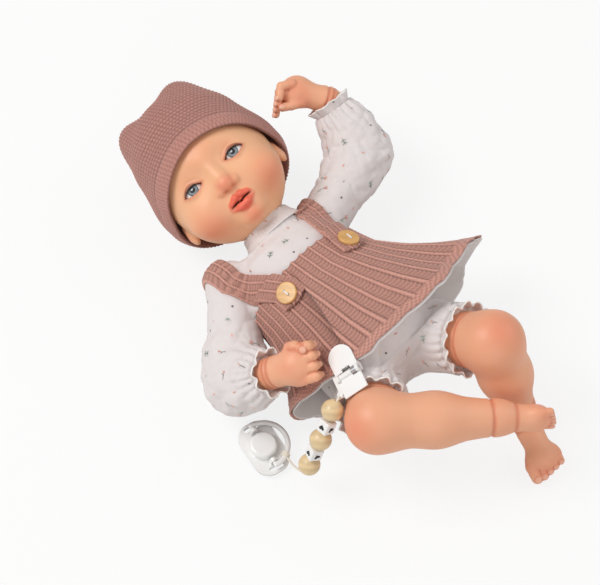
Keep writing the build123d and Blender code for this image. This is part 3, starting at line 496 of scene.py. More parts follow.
def colour(code: str) -> Tuple[float, float, float, float]:
    """A hexadecimal colour as linear light.

    Args:
        code: such as "E9B48C".
    Returns:
        Red, green, blue and one for alpha.
    """
    channels = [linear(int(code[k : k + 2], 16) / 255) for k in (0, 2, 4)]
    return channels[0], channels[1], channels[2], 1.0


def rgb(code: str) -> Array:
    """A hexadecimal colour as three linear numbers."""
    return np.array(colour(code)[:3])


def blend_in(base: Array, paint: Array, share: Array) -> Array:
    """Paint laid over a base, more where share is more."""
    return base + (paint - base) * np.clip(share, 0, 1)[:, None]


def make_piece(
    name: str, net: Net, material: bpy.types.Material, tint: Optional[Array] = None
) -> bpy.types.Object:
    """A mesh object in the scene.

    Args:
        name: the piece's name.
        net: its points and faces.
        material: its finish.
        tint: a colour for each point, or None.
    Returns:
        The object, at the origin.
    """
    mesh = bpy.data.meshes.new(name)
    three = net.faces[:, 2] == net.faces[:, 3]
    loops = np.concatenate([net.faces[~three].ravel(), net.faces[three][:, :3].ravel()])
    counts = np.repeat([4, 3], [(~three).sum(), three.sum()])
    mesh.vertices.add(len(net.points))
    mesh.vertices.foreach_set("co", (net.points * MM).astype(np.float32).ravel())
    mesh.loops.add(len(loops))
    mesh.loops.foreach_set("vertex_index", loops.astype(np.int32))
    mesh.polygons.add(len(counts))
    starts = np.concatenate([[0], np.cumsum(counts)[:-1]])
    mesh.polygons.foreach_set("loop_start", starts.astype(np.int32))
    mesh.polygons.foreach_set("use_smooth", np.ones(len(counts), bool))
    if tint is not None:
        layer = mesh.attributes.new("tint", "FLOAT_COLOR", "POINT")
        full = np.concatenate([tint, np.ones((len(tint), 1))], 1)
        layer.data.foreach_set("color", full.astype(np.float32).ravel())
    mesh.update(calc_edges=True)
    mesh.validate()
    mesh.materials.append(material)
    made = bpy.data.objects.new(name, mesh)
    bpy.context.scene.collection.objects.link(made)
    return made


def settle(piece: bpy.types.Object, body: str, slot: str, *nodes: str) -> bpy.types.Object:
    """Ties a piece to its body and hides the frame nodes that it stands for."""
    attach(piece, body)
    if nodes:
        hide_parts(*nodes)
    return piece


def merged(nets: Sequence[Net]) -> Net:
    """Several meshes as one."""
    points, faces, count = [], [], 0
    for net in nets:
        points.append(net.points)
        faces.append(net.faces + count)
        count += len(net.points)
    return Net(np.concatenate(points), np.concatenate(faces))


def hoops(line: Array, ways: Array, aside: Array, radii: Array, sides: int) -> Array:
    """Rings of points square to a line.

    Args:
        line: the line's points.
        ways: its direction at each.
        aside: a direction that the rings are turned from.
        radii: the radius of each ring.
        sides: points round each ring.
    Returns:
        The points, as (ring, place round it, 3).
    """
    ways = ways / np.linalg.norm(ways, axis=1, keepdims=True)
    side = np.cross(ways, aside)
    side /= np.linalg.norm(side, axis=1, keepdims=True)
    other = np.cross(ways, side)
    turn = full_turn(sides)
    ring = side[:, None] * np.cos(turn)[None, :, None] + other[:, None] * np.sin(turn)[None, :, None]
    return line[:, None] + ring * np.asarray(radii)[:, None, None]


def hose(line: Array, radii: Array, sides: int = 8) -> Net:
    """A round tube along points, with its own radius at each."""
    return lattice(hoops(line, np.gradient(line, axis=0), vec(0.37, 0.21, 0.9), radii, sides))


# ---- Finishes --------------------------------------------------------------------------------
class Kind(Enum):
    """What a finish is made of, which sets its fine surface."""

    VINYL = "vinyl"
    CLOTH = "cloth"
    KNIT = "knit"
    WOOD = "wood"
    PLASTIC = "plastic"
    METAL = "metal"


@dataclass(frozen=True)
class Finish:
    """One real material.

    Args:
        name: the real material.
        base: its colour.
        kind: its family.
        rough: how matt it is.
        coat: how much clear gloss lies on it.
        grain: size of its fine relief in millimetres.
        relief: depth of that relief in millimetres.
        tinted: True when the mesh carries its own colours.
    """

    name: str
    base: str
    kind: Kind
    rough: float
    coat: float = 0.0
    grain: float = 1.0
    relief: float = 0.0
    tinted: bool = False


FINISHES = {
    # soft matt vinyl, sprayed with blush
    "skin": Finish("skin_vinyl", "E9B48C", Kind.VINYL, 0.42, 0.0, 1.1, 0.02, True),
    # glossy acrylic eyes under a clear dome
    "eye": Finish("eye_acrylic", "E8E4DF", Kind.PLASTIC, 0.22, 1.0, 1.0, 0.0, True),
    # painted lash line and stiff nylon lashes
    "lash": Finish("lash_nylon", "33211A", Kind.PLASTIC, 0.6),
    # dusty rose acrylic yarn
    "hat": Finish("hat_yarn", "AE7C74", Kind.KNIT, 0.9, 0.0, 0.7, 0.22, True),
    "rose": Finish("rose_yarn", "B5796D", Kind.KNIT, 0.9, 0.0, 0.7, 0.2, True),
    # off-white cotton jersey
    "jersey": Finish("cotton_jersey", "EBE5E5", Kind.CLOTH, 0.85, 0.0, 0.45, 0.05, True),
    # thin white lining of the pinafore
    "lining": Finish("cotton_lining", "F1ECEA", Kind.CLOTH, 0.85, 0.0, 0.45, 0.04),
    # overlock and button thread
    "thread": Finish("cotton_thread", "F5F1EC", Kind.CLOTH, 0.8, 0.0, 0.3, 0.05),
    # printing inks of the small flowers
    "coral": Finish("ink_coral", "F2B9A8", Kind.CLOTH, 0.85),
    "leaf": Finish("ink_leaf", "AFC2B6", Kind.CLOTH, 0.85),
    "stem": Finish("ink_stem", "837B78", Kind.CLOTH, 0.85),
    # honey-coloured varnished wood
    "button": Finish("honey_wood", "E2AD66", Kind.WOOD, 0.35, 0.4, 1.6, 0.03),
    # pale waxed beech
    "bead": Finish("pale_beech", "EBCFA0", Kind.WOOD, 0.4, 0.25, 1.8, 0.02),
    # white injection-moulded plastic
    "white": Finish("white_gloss_plastic", "F3F2F0", Kind.PLASTIC, 0.22, 0.3),
    # black stamp on the cubes
    "ink": Finish("ink_black", "22211F", Kind.PLASTIC, 0.5),
    # cream twisted cord
    "cord": Finish("cream_cord", "EFE6D6", Kind.CLOTH, 0.8, 0.0, 0.35, 0.1),
    "steel": Finish("bright_steel", "C9C9CC", Kind.METAL, 0.3),
    "case": Finish("case_plastic", "E6E6E3", Kind.PLASTIC, 0.4),
    "press": Finish("press_plastic", "DB6657", Kind.PLASTIC, 0.4),
    "board": Finish("board_laminate", "1A5230", Kind.PLASTIC, 0.5),
    "cover": Finish("cover_cotton", "E6D6C7", Kind.CLOTH, 0.9, 0.0, 0.5, 0.05),
    "filling": Finish("polyester_filling", "F2F2F0", Kind.CLOTH, 0.95, 0.0, 2.0, 0.3),
    "tie": Finish("nylon_tie", "EDEDEB", Kind.PLASTIC, 0.45),
    "cell": Finish("cell_jacket", "4D5766", Kind.METAL, 0.35),
}


@dataclass
class Workshop:
    """Makes each finish once.

    Args:
        made: finished materials by key.
    """

    made: Dict[str, bpy.types.Material] = field(default_factory=dict)

    @staticmethod
    def add(tree: bpy.types.NodeTree, kind: str, **values: object) -> bpy.types.Node:
        """Adds a node and sets its inputs or properties by name."""
        node = tree.nodes.new(kind)
        for key, value in values.items():
            if key in node.inputs:
                node.inputs[key].default_value = value
            elif key.replace("_", " ") in node.inputs:
                node.inputs[key.replace("_", " ")].default_value = value
            else:
                setattr(node, key, value)
        return node

    def get(self, key: str) -> bpy.types.Material:
        """The material for a key of FINISHES."""
        if key not in self.made:
            self.made[key] = self.build(FINISHES[key])
        return self.made[key]

    def build(self, finish: Finish) -> bpy.types.Material:
        """Builds one finish as a node tree.

        Args:
            finish: what it is.
        Returns:
            The material.
        """
        material = bpy.data.materials.new(finish.name)
        material.use_nodes = True
        tree = material.node_tree
        shader = tree.nodes["Principled BSDF"]
        shader.inputs["Base Color"].default_value = colour(finish.base)
        shader.inputs["Roughness"].default_value = finish.rough
        shader.inputs["Coat Weight"].default_value = finish.coat
        shader.inputs["Coat Roughness"].default_value = 0.06
        if finish.kind is Kind.METAL:
            shader.inputs["Metallic"].default_value = 1.0
        if finish.kind in (Kind.CLOTH, Kind.KNIT):
            shader.inputs["Specular IOR Level"].default_value = 0.2
            shader.inputs["Sheen Weight"].default_value = 0.25
            shader.inputs["Sheen Roughness"].default_value = 0.5
        if finish.kind is Kind.VINYL:
            shader.inputs["Subsurface Weight"].default_value = 0.12
            shader.inputs["Subsurface Scale"].default_value = 0.003
            shader.inputs["Subsurface Radius"].default_value = (1.0, 0.45, 0.25)
            shader.inputs["Specular IOR Level"].default_value = 0.4
        where = self.add(tree, "ShaderNodeTexCoord").outputs["Object"]
        base = None
        if finish.tinted:
            base = self.add(tree, "ShaderNodeAttribute", attribute_name="tint").outputs["Color"]
            tree.links.new(base, shader.inputs["Base Color"])
        if finish.kind is Kind.WOOD:
            self.wood(tree, finish, where, shader)
        if finish.kind is Kind.KNIT:
            speckle = self.add(tree, "ShaderNodeTexNoise", Scale=1 / (0.9 * MM), Detail=3.0, Roughness=0.7)
            tree.links.new(where, speckle.inputs["Vector"])
            mix = self.add(tree, "ShaderNodeMix", data_type="RGBA", blend_type="MULTIPLY")
            mix.inputs[0].default_value = 0.55
            ramp = self.add(tree, "ShaderNodeMapRange", From_Min=0.3, From_Max=0.7, To_Min=0.62, To_Max=1.25)
            tree.links.new(speckle.outputs["Fac"], ramp.inputs["Value"])
            tree.links.new(base, mix.inputs[6])
            tree.links.new(ramp.outputs["Result"], mix.inputs[7])
            tree.links.new(mix.outputs[2], shader.inputs["Base Color"])
        if finish.relief > 0 and finish.kind is not Kind.WOOD:
            rough = self.add(tree, "ShaderNodeTexNoise", Scale=1 / (finish.grain * MM), Detail=2.0)
            tree.links.new(where, rough.inputs["Vector"])
            bump = self.add(tree, "ShaderNodeBump", Strength=0.8, Distance=finish.relief * MM)
            tree.links.new(rough.outputs["Fac"], bump.inputs["Height"])
            tree.links.new(bump.outputs["Normal"], shader.inputs["Normal"])
        return material

    def wood(self, tree: bpy.types.NodeTree, finish: Finish, where: object, shader: bpy.types.Node) -> None:
        """Growth rings and fine pores."""
        rings = self.add(
            tree, "ShaderNodeTexWave", wave_type="BANDS", bands_direction="DIAGONAL",
            Scale=1 / (finish.grain * 8 * MM), Distortion=3.5, Detail=3.0, Detail_Scale=1.2,
        )
        tree.links.new(where, rings.inputs["Vector"])
        ramp = self.add(tree, "ShaderNodeValToRGB")
        dark = [c * 0.86 for c in colour(finish.base)[:3]] + [1.0]
        ramp.color_ramp.elements[0].color = dark
        ramp.color_ramp.elements[1].color = colour(finish.base)
        tree.links.new(rings.outputs["Fac"], ramp.inputs["Fac"])
        tree.links.new(ramp.outputs["Color"], shader.inputs["Base Color"])
        bump = self.add(tree, "ShaderNodeBump", Strength=0.4, Distance=finish.relief * MM)
        tree.links.new(rings.outputs["Fac"], bump.inputs["Height"])
        tree.links.new(bump.outputs["Normal"], shader.inputs["Normal"])


SHOP = Workshop()
SKIN, LIMB, BLUSH, DEEP = rgb("F3BA90"), rgb("F0B08C"), rgb("EA8A6A"), rgb("D5785A")
LIP, MOUTH_DARK, NAIL = rgb("EE735A"), rgb("6A241C"), rgb("F3BFA6")
NOSTRIL, FRINGE = rgb("A8452F"), rgb("8C4630")
ROSE_YARN, HAT_YARN, JERSEY = rgb("E0A595"), rgb("C38B7F"), rgb("E3DBD9")


def bell(distance: Array, width: float) -> Array:
    """A soft spot: one at no distance, falling off over a width."""
    return np.exp(-((distance / width) ** 2))


# ---- Head ------------------------------------------------------------------------------------
@dataclass
class Head:
    """Vinyl head, its eyes and lashes.

    Args:
        eye: centre of the left eye in the head's own axes.
        radius: the eye's radius.
        half_wide: half the width of the eye opening.
        half_high: half its height.
    """

    eye: Array = field(default_factory=lambda: vec(19, -4, 34.5))
    radius: float = 8.6
    half_wide: float = 8.1
    half_high: float = 2.95

    @property
    def arc(self) -> Tuple[float, float]:
        """Radius of the lid's arc and how far its centre is from the eye's middle line."""
        a, b = self.half_wide, self.half_high
        return (a * a + b * b) / (2 * b), (a * a - b * b) / (2 * b)

    def opening(self, q: Array, s: int) -> Array:
        """Distance to the almond column between the lids."""
        big, off = self.arc
        x, y = q[:, 0] - s * self.eye[0], q[:, 1] - self.eye[1]
        upper = np.hypot(x, y + off) - big
        lower = np.hypot(x, y - off) - big
        return within(np.maximum(upper, lower), self.eye[2] + 1.0 - q[:, 2], 0.3)

    @staticmethod
    def upper_lip(q: Array) -> Array:
        """Distance to the upper lip."""
        total = None
        for s in (-1, 1):
            half = rod(q, vec(s * 2.3, -28.6, 44.4), vec(s * 7.0, -30.4, 42.4), 2.2, 1.8)
            half = join(half, rod(q, vec(s * 7.0, -30.4, 42.4), vec(s * 11.0, -32.6, 38.6), 1.8, 0.9), 1.0)
            total = half if total is None else join(total, half, 0.5)
        return total

    @staticmethod
    def lower_lip(q: Array) -> Array:
        """Distance to the lower lip."""
        middle = rod(q, vec(-2.8, -36.0, 42.2), vec(2.8, -36.0, 42.2), 2.9, 2.9)
        for s in (-1, 1):
            corner = rod(q, vec(s * 2.8, -35.8, 42.1), vec(s * 10.4, -33.0, 38.8), 2.7, 1.0)
            middle = join(middle, corner, 1.0)
        return middle

    @staticmethod
    def slit(q: Array) -> Array:
        """Distance to the gap between the lips."""
        bow = np.array(q)
        bow[:, 1] = q[:, 1] + 0.9 * bell(q[:, 0], 2.0) + 0.008 * q[:, 0] ** 2
        return oval(bow, (0, -31.9, 43.2), (8.6, 0.62, 4.6))

    def form(self, q: Array) -> Array:
        """Distance to the whole head in its own axes."""
        d = join(oval(q, (0, 8, -2), (45, 46, 52)), oval(q, (0, -14, 10), (41, 36, 36)), 9)
        for s in (-1, 1):
            d = join(d, oval(q, (s * 23.5, -22.5, 26.5), (15.5, 14, 15)), 9)
        d = join(d, oval(q, (0, -42.5, 32), (9.5, 6.5, 8)), 8)
        d = join(d, oval(q, (0, -31, 33), (12, 9, 8.5)), 6)
        d = join(d, rod(q, vec(0, -20, 0), vec(0, -52, 0), 15, 14.6), 8)
        for s in (-1, 1):
            d = carve(d, oval(q, (s * 16.5, -3.0, 50.5), (10.5, 7.5, 6.0)), 10)
            centre = self.eye * vec(s, 1, 1)
            d = join(d, ball(q, centre, self.radius + 1.1), 1.8)
            crease = np.abs(np.hypot(q[:, 0] - s * 19, q[:, 1] + 4 + 4.2) - 10.6)
            over = bell(crease, 0.9) * (q[:, 1] > -2) * (q[:, 2] > 30)
            d = d + 0.55 * over
            bag = np.abs(np.hypot(q[:, 0] - s * 19, q[:, 1] + 4 - 4.6) - 11.0)
            d = d + 0.3 * bell(bag, 0.9) * (q[:, 1] < -7) * (q[:, 2] > 30)
            d = join(d, oval(q, (s * 43, -15, -3), (3.6, 9, 5.5)), 1.6)
            d = carve(d, oval(q, (s * 47.4, -12.5, -1.5), (3, 5, 2.6)), 1.4)
        d = join(d, rod(q, vec(0, -3, 44.6), vec(0, -15, 47.0), 2.2, 3.9), 6)
        d = join(d, ball(q, (0, -17.4, 47.0), 5.7), 2.8)
        for s in (-1, 1):
            d = join(d, oval(q, (s * 6.4, -18.9, 44.6), (3.9, 3.5, 3.9)), 1.8)
            d = carve(d, oval(q, (s * 3.3, -22.6, 47.6), (1.8, 1.2, 2.4)), 0.8)
        d = carve(d, rod(q, vec(0, -24.2, 47.0), vec(0, -26.6, 46.8), 1.2, 1.0), 1.5)
        d = join(d, self.upper_lip(q), 1.5)
        d = join(d, self.lower_lip(q), 1.5)
        d = carve(d, self.slit(q), 0.6)
        d = carve(d, oval(q, (0, -39.8, 43.4), (7, 1.6, 2.6)), 2.5)
        for s in (-1, 1):
            d = carve(d, self.opening(q, s), 0.35)
        return d

    def paint(self, q: Array) -> Array:
        """Skin colour with blush, lips and shadow lines."""
        skin = np.tile(SKIN, (len(q), 1))

        def spot(ink: Array, strength: float, at: Array, width: float, wider: float = 1.0) -> None:
            nonlocal skin
            away = np.linalg.norm((q - at) / vec(wider, 1, 1), axis=1)
            skin = blend_in(skin, ink, strength * bell(away, width))

        for s in (-1, 1):
            spot(BLUSH, 0.95, vec(s * 25.5, -28, 32), 13)
            spot(BLUSH, 0.3, vec(s * 19, 2.5, 42), 6)
            spot(DEEP, 0.6, vec(s * 44, -14, -3), 6)
            spot(NOSTRIL, 0.7, vec(s * 3.3, -22.4, 46.8), 1.7)
            lid = self.opening(q, s)
            # Painted shade along the rims of the eye opening.
            skin = blend_in(skin, DEEP, 0.75 * bell(lid, 1.5) * (q[:, 2] > 30))
            fringe = np.abs(np.hypot(q[:, 0] - s * 19, q[:, 1] + 8.9) - 9.6)
            fringe = bell(fringe, 0.75) * np.clip((s * (q[:, 0] - s * 19) + 7) / 6, 0, 1)
            skin = blend_in(skin, FRINGE, 0.75 * fringe * (q[:, 1] > -4) * (q[:, 2] > 30))
        spot(BLUSH, 0.95, vec(0, -18.5, 50), 6, 1.5)
        spot(BLUSH, 0.85, vec(0, -45, 38), 8)
        spot(BLUSH, 0.35, vec(0, 14, 48), 14)
        bow = 1.2 * bell(q[:, 0], 2.5) * (q[:, 1] < -28.8)
        lips = np.minimum(self.upper_lip(q), self.lower_lip(q)) - bow
        skin = blend_in(skin, LIP, np.clip(1.0 - lips / 0.9, 0, 1) * (q[:, 2] > 38))
        hole = self.slit(q)
        return blend_in(skin, MOUTH_DARK, np.clip(1.0 - (hole + 0.1) / 0.5, 0, 1) * (q[:, 2] < 44.2))

    def eyeball(self, s: int) -> Tuple[Net, Array]:
        """One eye with its iris painted on."""
        rings = np.concatenate([np.linspace(0.6, 40, 60), np.linspace(43, 179.4, 34)])
        turn = full_turn(128)
        gaze = unit(vec(s * 0.02 - 0.02, 0.07, 1))
        side = unit(np.cross(vec(0, 1, 0), gaze))
        up = np.cross(gaze, side)
        bulge = 0.35 * bell(rings, 26)
        rows = []
        round_it = circle(side, up, turn)
        for angle, rise in zip(np.radians(rings), bulge):
            radius = self.radius - 0.1 + rise
            rows.append(radius * (gaze * math.cos(angle) + round_it * math.sin(angle)))
        net = lattice(np.array(rows)[::-1])
        net.points = net.points + self.eye * vec(s, 1, 1)
        local = net.points - self.eye * vec(s, 1, 1)
        local /= np.linalg.norm(local, axis=1, keepdims=True)
        away = np.degrees(np.arccos(np.clip(local @ gaze, -1, 1)))
        spin = np.arctan2(local @ up, local @ side)
        dice = np.random.default_rng(5)
        streak = sum(np.sin(k * spin + dice.random() * 6) for k in (17, 29, 43, 61)) / 4
        white = np.tile(rgb("EFEAE6"), (len(local), 1))
        # Painted shade in the eye's corners: the white darkens and warms away from the iris, where the lids
        # shade it.
        white = blend_in(white, rgb("E2B7A6"), np.clip((away - 48) / 25, 0, 0.7))
        iris = np.clip((30.0 - away) / 1.5, 0, 1)
        fill = blend_in(np.tile(rgb("5A646B"), (len(local), 1)), rgb("A6AEB1"), 0.5 + 0.5 * streak)
        fill = blend_in(fill, rgb("5F6E79"), np.clip((16 - away) / 5, 0, 0.7))
        fill = blend_in(fill, rgb("232E38"), np.clip((away - 22.5) / 5.0, 0, 0.97))
        eye = blend_in(white, fill, iris)
        eye[iris > 0.99] = fill[iris > 0.99]
        return net, blend_in(eye, rgb("0B0C0E"), np.clip((13.8 - away) / 1.6, 0, 1))

    def lashes(self, s: int) -> Net:
        """The dark line of the upper lid and its lashes."""
        big, off = self.arc
        shell = self.radius + 1.0

        def on_lid(x: float, lift: float = 0.0, out: float = 0.0) -> Array:
            y = math.sqrt(max(big * big - x * x, 0)) - off + lift
            deep = math.sqrt(max((shell + out) ** 2 - x * x - y * y, 1))
            return vec(s * self.eye[0] + x, self.eye[1] + y, self.eye[2] + deep)

        xs = np.linspace(-self.half_wide * 0.93, self.half_wide * 0.93, 26)
        line = np.array([on_lid(x, -0.15) for x in xs])
        width = 0.22 + 0.36 * np.sin(np.linspace(0.1, math.pi - 0.1, 26))
        nets = [hose(line, width)]
        dice = np.random.default_rng(11 + s)
        for x in np.linspace(-0.9, 0.92, 22) * self.half_wide:
            outer = 0.5 + 0.5 * s * x / self.half_wide
            reach = 1.1 + 1.7 * outer + 0.3 * dice.random()
            lean = s * (0.2 + 1.2 * outer)
            path = [
                on_lid(x + lean * t * 0.8, -0.1 + reach * t * 0.75, reach * t * 0.55)
                for t in (0, 0.35, 0.7, 1)
            ]
            nets.append(hose(np.array(path), [0.14, 0.11, 0.07, 0.03], 5))
        return merged(nets)

    def build(self) -> None:
        """Adds the head, both eyes and the lashes."""
        net = surface(self.form, vec(-50, -70, -57), vec(50, 57, 56), 1.0)
        tint = self.paint(net.points)
        placed = net.placed(HEAD_AXES, HEAD_CENTRE)
        settle(make_piece("head_skin", placed, SHOP.get("skin"), tint), "head", "skin_vinyl", "head_shell")
        for s in SIDES:
            net, tint = self.eyeball(s)
            eye = make_piece(f"{SIDES[s]}_eyeball", net.placed(HEAD_AXES, HEAD_CENTRE), SHOP.get("eye"), tint)
            settle(eye, "head", "eye_gloss", f"{SIDES[s]}_eye")
            line = self.lashes(s).placed(HEAD_AXES, HEAD_CENTRE)
            settle(make_piece(f"{SIDES[s]}_lashes", line, SHOP.get("lash")), "head", "eye_gloss")


# ---- Hat -------------------------------------------------------------------------------------
@dataclass
class Hat:
    """Knitted hat with two soft corners.

    Args:
        lean: rise of the rim towards the face for each millimetre of depth.
        rim: height of the rim at the ears.
        row: height of one row of stitches.
        stitches: stitches round it.
        stitch: how high one stitch stands.
        band: width of the ribbed band at the rim.
        ease: how far it stands off its outline.
        dip: how much lower the rim is over the right temple.
    """

    lean: float = 0.56
    rim: float = -10.0
    row: float = 3.1
    stitches: int = 110
    stitch: float = 1.5
    band: float = 11.0
    ease: float = 1.6
    dip: float = 6.0

    @staticmethod
    def form(q: Array, grow: float) -> Array:
        """Distance to the hat's outline, grown by an amount."""
        d = join(oval(q, (0, 8, -2), (46.5, 46, 53.5)), oval(q, (0, 28, -6), (44, 43, 43)), 4)
        for at in ((-24, 60, -8), (19, 60, -6)):
            d = join(d, oval(q, at, (12, 15, 12)), 11)
        return join(d, oval(q, (0, 3, -15), (50.5, 42, 41)), 8) - grow

    def trace(self, ways: Array, centre: Array, grow: float) -> Array:
        """Where rays from a centre leave the outline."""
        far = np.full(len(ways), 95.0)
        for _ in range(40):
            far -= 0.75 * self.form(centre + ways * far[:, None], grow)
        return centre + ways * far[:, None]

    def rows_over(self, columns: int, rows: int, centre: Array, axis: Array) -> Tuple[Array, float]:
        """Rows of points from the rim over to the crown.

        Args:
            columns: points round it.
            rows: points from rim to crown.
            centre: a point inside.
            axis: from there to the crown.
        Returns:
            The points, and how long the rows are on average.
        """
        lowest, highest, many = 128, 0.6, 120
        side = vec(1, 0, 0)
        round_it = circle(side, np.cross(axis, side), full_turn(columns))
        tilt = np.radians(np.linspace(lowest, highest, many))
        ways = axis * np.cos(tilt)[:, None, None] + round_it * np.sin(tilt)[:, None, None]
        spots = self.trace(ways.reshape(-1, 3), centre, self.ease).reshape(many, columns, 3)
        height = spots[..., 1] - self.rim - self.lean * spots[..., 2]
        height = height + self.dip * np.clip(-spots[..., 0] / 45, 0, 1) * np.clip(spots[..., 2] / 45, 0, 1)
        outer = np.zeros((rows, columns, 3))
        length = np.zeros(columns)
        for c in range(columns):
            start = int(np.argmax(height[:, c] > 0))
            share = height[start, c] / (height[start, c] - height[start - 1, c])
            first = spots[start, c] * (1 - share) + spots[start - 1, c] * share
            line = np.concatenate([first[None], spots[start:, c]])
            run = np.concatenate([[0], np.cumsum(np.linalg.norm(np.diff(line, axis=0), axis=1))])
            length[c] = run[-1]
            wanted = np.linspace(0, run[-1], rows)
            for k in range(3):
                outer[:, c, k] = np.interp(wanted, run, line[:, k])
        return outer, length.mean()

    def relief(self, turn: Array, share: Array, length: float) -> Tuple[Array, Array]:
        """How high each place stands out, and its painted shade.

        Args:
            turn: angle round the hat.
            share: way from rim to crown, as a column.
            length: how long the rows are.
        Returns:
            Heights in millimetres, and painted shade from 0 to 1, darkest in the low places between the
            stitches.
        """
        down = share * length / self.row
        around = turn[None] * self.stitches / (2 * math.pi) + 0.35 * np.floor(down)
        ridge = np.abs(np.sin(math.pi * down)) ** 0.8
        knot = 0.5 + 0.5 * np.cos(2 * math.pi * around)
        fade = np.clip((1 - share) * 14, 0, 1)
        band = np.clip((self.band - down * self.row) / 1.2, 0, 1)
        lump = (0.25 + 0.75 * ridge) * (0.5 + 0.5 * knot)
        lump = lump * (1 - band) + (0.55 + 0.45 * knot) * band
        sag = 0.35 * np.sin(3 * turn + 1)[None] * (1 - fade * 0.5)
        return self.stitch * lump * fade + 0.9 * band + sag, 1 - 0.74 * (1 - lump) ** 1.4

    def build(self) -> None:
        """Adds the hat with its turned rim."""
        columns, rows = 550, 170
        centre, axis = vec(0, 6, -4), unit(vec(0, 1, -self.lean))
        outer, length = self.rows_over(columns, rows, centre, axis)
        normal = outer - centre
        normal /= np.linalg.norm(normal, axis=2, keepdims=True)
        rise, shade = self.relief(full_turn(columns), np.linspace(0, 1, rows)[:, None], length)
        outer = outer + normal * rise[..., None]
        roll = outer[0] - normal[0] * 1.1 - axis * 0.9
        inside = [outer[0] - normal[0] * 2.2]
        for share in (0.25, 0.6, 0.9):
            place = int(share * (rows - 1))
            inside.append(outer[place] - normal[place] * 3.1)
        rings = np.concatenate([np.array([*inside[::-1], roll]), outer])
        net = lattice(rings)
        # Painted shade inside the hat and on the roll under its rim: 0.6 of the yarn colour.
        behind = np.full((len(inside) + 1, columns), 0.6)
        shade = np.concatenate([behind, shade * np.ones((rows, columns))])
        shade = np.concatenate([shade.ravel(), [0.6, 0.8]])
        tint = HAT_YARN * shade[:, None]
        piece = make_piece("hat_knit", net.placed(HEAD_AXES, HEAD_CENTRE), SHOP.get("hat"), tint)
        settle(piece, "head", "hat_knit", "hat")


# ---- Limbs -----------------------------------------------------------------------------------
@dataclass
class Digit:
    """A finger or toe.

    Args:
        points: its joints, from knuckle to tip.
        radius: its radius.
        nail_way: the direction that the nail faces.
    """

    points: List[Array]
    radius: float
    nail_way: Array

    def form(self, p: Array) -> Array:
        """Distance to the digit, with a crease at each joint."""
        radii = [self.radius * (1.06 - 0.1 * k) for k in range(len(self.points))]
        d = chain(p, self.points, radii, 0.5)
        for k in range(1, len(self.points)):
            middle = self.points[k - 1] + (self.points[k] - self.points[k - 1]) * 0.35
            way = unit(self.points[k] - self.points[k - 1]).astype(p.dtype)
            d = d + 0.22 * bell((p - middle.astype(p.dtype)) @ way, 0.7)
        return d

    @property
    def nail(self) -> Tuple[Array, Array, Array]:
        """Middle, direction along it and face of the nail."""
        tip = self.points[-1]
        along = unit(tip - self.points[-2])
        face = unit(self.nail_way - along * (self.nail_way @ along))
        return tip + face * self.radius * 0.72 + along * self.radius * 0.35, along, face

    def nail_field(self, p: Array) -> Array:
        """Distance to the nail's plate."""
        centre, along, face = self.nail
        r = self.radius
        axes = np.array([along, np.cross(face, along), face])
        return oval(p, centre, (r * 0.62, r * 0.55, r * 0.3), axes)


@dataclass
class Limb:
    """An arm or a leg: a bent vinyl casting with digits.

    Args:
        name: its frame node.
        points: its bends.
        radii: its radius at each.
        digits: its fingers or toes.
        extras: further forms blended in, as (field, softness).
        rings: creases as (point, axis, depth).
        spots: blushed places as (point, width, strength).
    """

    name: str
    points: List[Array]
    radii: List[float]
    digits: List[Digit]
    extras: List[Tuple[Field, float]] = field(default_factory=list)
    rings: List[Tuple[Array, Array, float]] = field(default_factory=list)
    spots: List[Tuple[Array, float, float]] = field(default_factory=list)

    def form(self, p: Array) -> Array:
        """Distance to the whole limb."""
        d = chain(p, self.points, self.radii, 9.0)
        for extra, soft in self.extras:
            d = join(d, extra(p), soft)
        for at, way, depth in self.rings:
            q = p - at.astype(p.dtype)
            near = bell(q @ way.astype(p.dtype), 1.1) * (np.linalg.norm(q, axis=1) < 30)
            d = d + depth * near
        fingers = None
        for digit in self.digits:
            one = digit.form(p)
            fingers = one if fingers is None else join(fingers, one, 0.5)
        d = join(d, fingers, 1.6)
        for digit in self.digits:
            d = join(d, digit.nail_field(p), 0.25)
        return d

    def paint(self, p: Array) -> Array:
        """Skin colour with blush at the joints and knuckles, painted shade in the creases, between the digits
        and round the nails, and pale nails.
        """
        skin = np.tile(LIMB, (len(p), 1))
        for at, width, strength in self.spots:
            skin = blend_in(skin, BLUSH, strength * bell(np.linalg.norm(p - at, axis=1), width))
        # Painted shade in each crease.
        for at, way, _depth in self.rings:
            q = p - at
            skin = blend_in(skin, DEEP, 0.7 * bell(q @ way, 1.5) * (np.linalg.norm(q, axis=1) < 30))
        # Painted shade between the digits, where two of them are nearly equally close.
        forms = np.array([digit.form(p) for digit in self.digits])
        order = np.sort(forms, axis=0)
        gap = order[1] - order[0]
        skin = blend_in(skin, DEEP, 0.75 * bell(gap, 0.9) * (order[0] < 1.2))
        for digit in self.digits:
            skin = blend_in(skin, BLUSH, 0.45 * bell(np.linalg.norm(p - digit.points[0], axis=1), 5))
            nail = digit.nail_field(p)
            # Painted shade in a thin ring round each nail, then the nail's own paler colour.
            skin = blend_in(skin, DEEP, 0.45 * bell(nail - 0.35, 0.35))
            skin = blend_in(skin, NAIL, np.clip(0.7 - nail * 3, 0, 1))
        return skin

    def build(self, body: str, cell: float) -> None:
        """Adds the limb on its body."""
        spots = np.array([*self.points, *[q for digit in self.digits for q in digit.points]])
        net = surface(self.form, spots.min(0) - 24, spots.max(0) + 24, cell)
        piece = make_piece(f"{self.name}_skin", net, SHOP.get("skin"), self.paint(net.points))
        settle(piece, body, "skin_vinyl", self.name)


TO_VIEW = vec(-0.33, -0.33, 0.88)


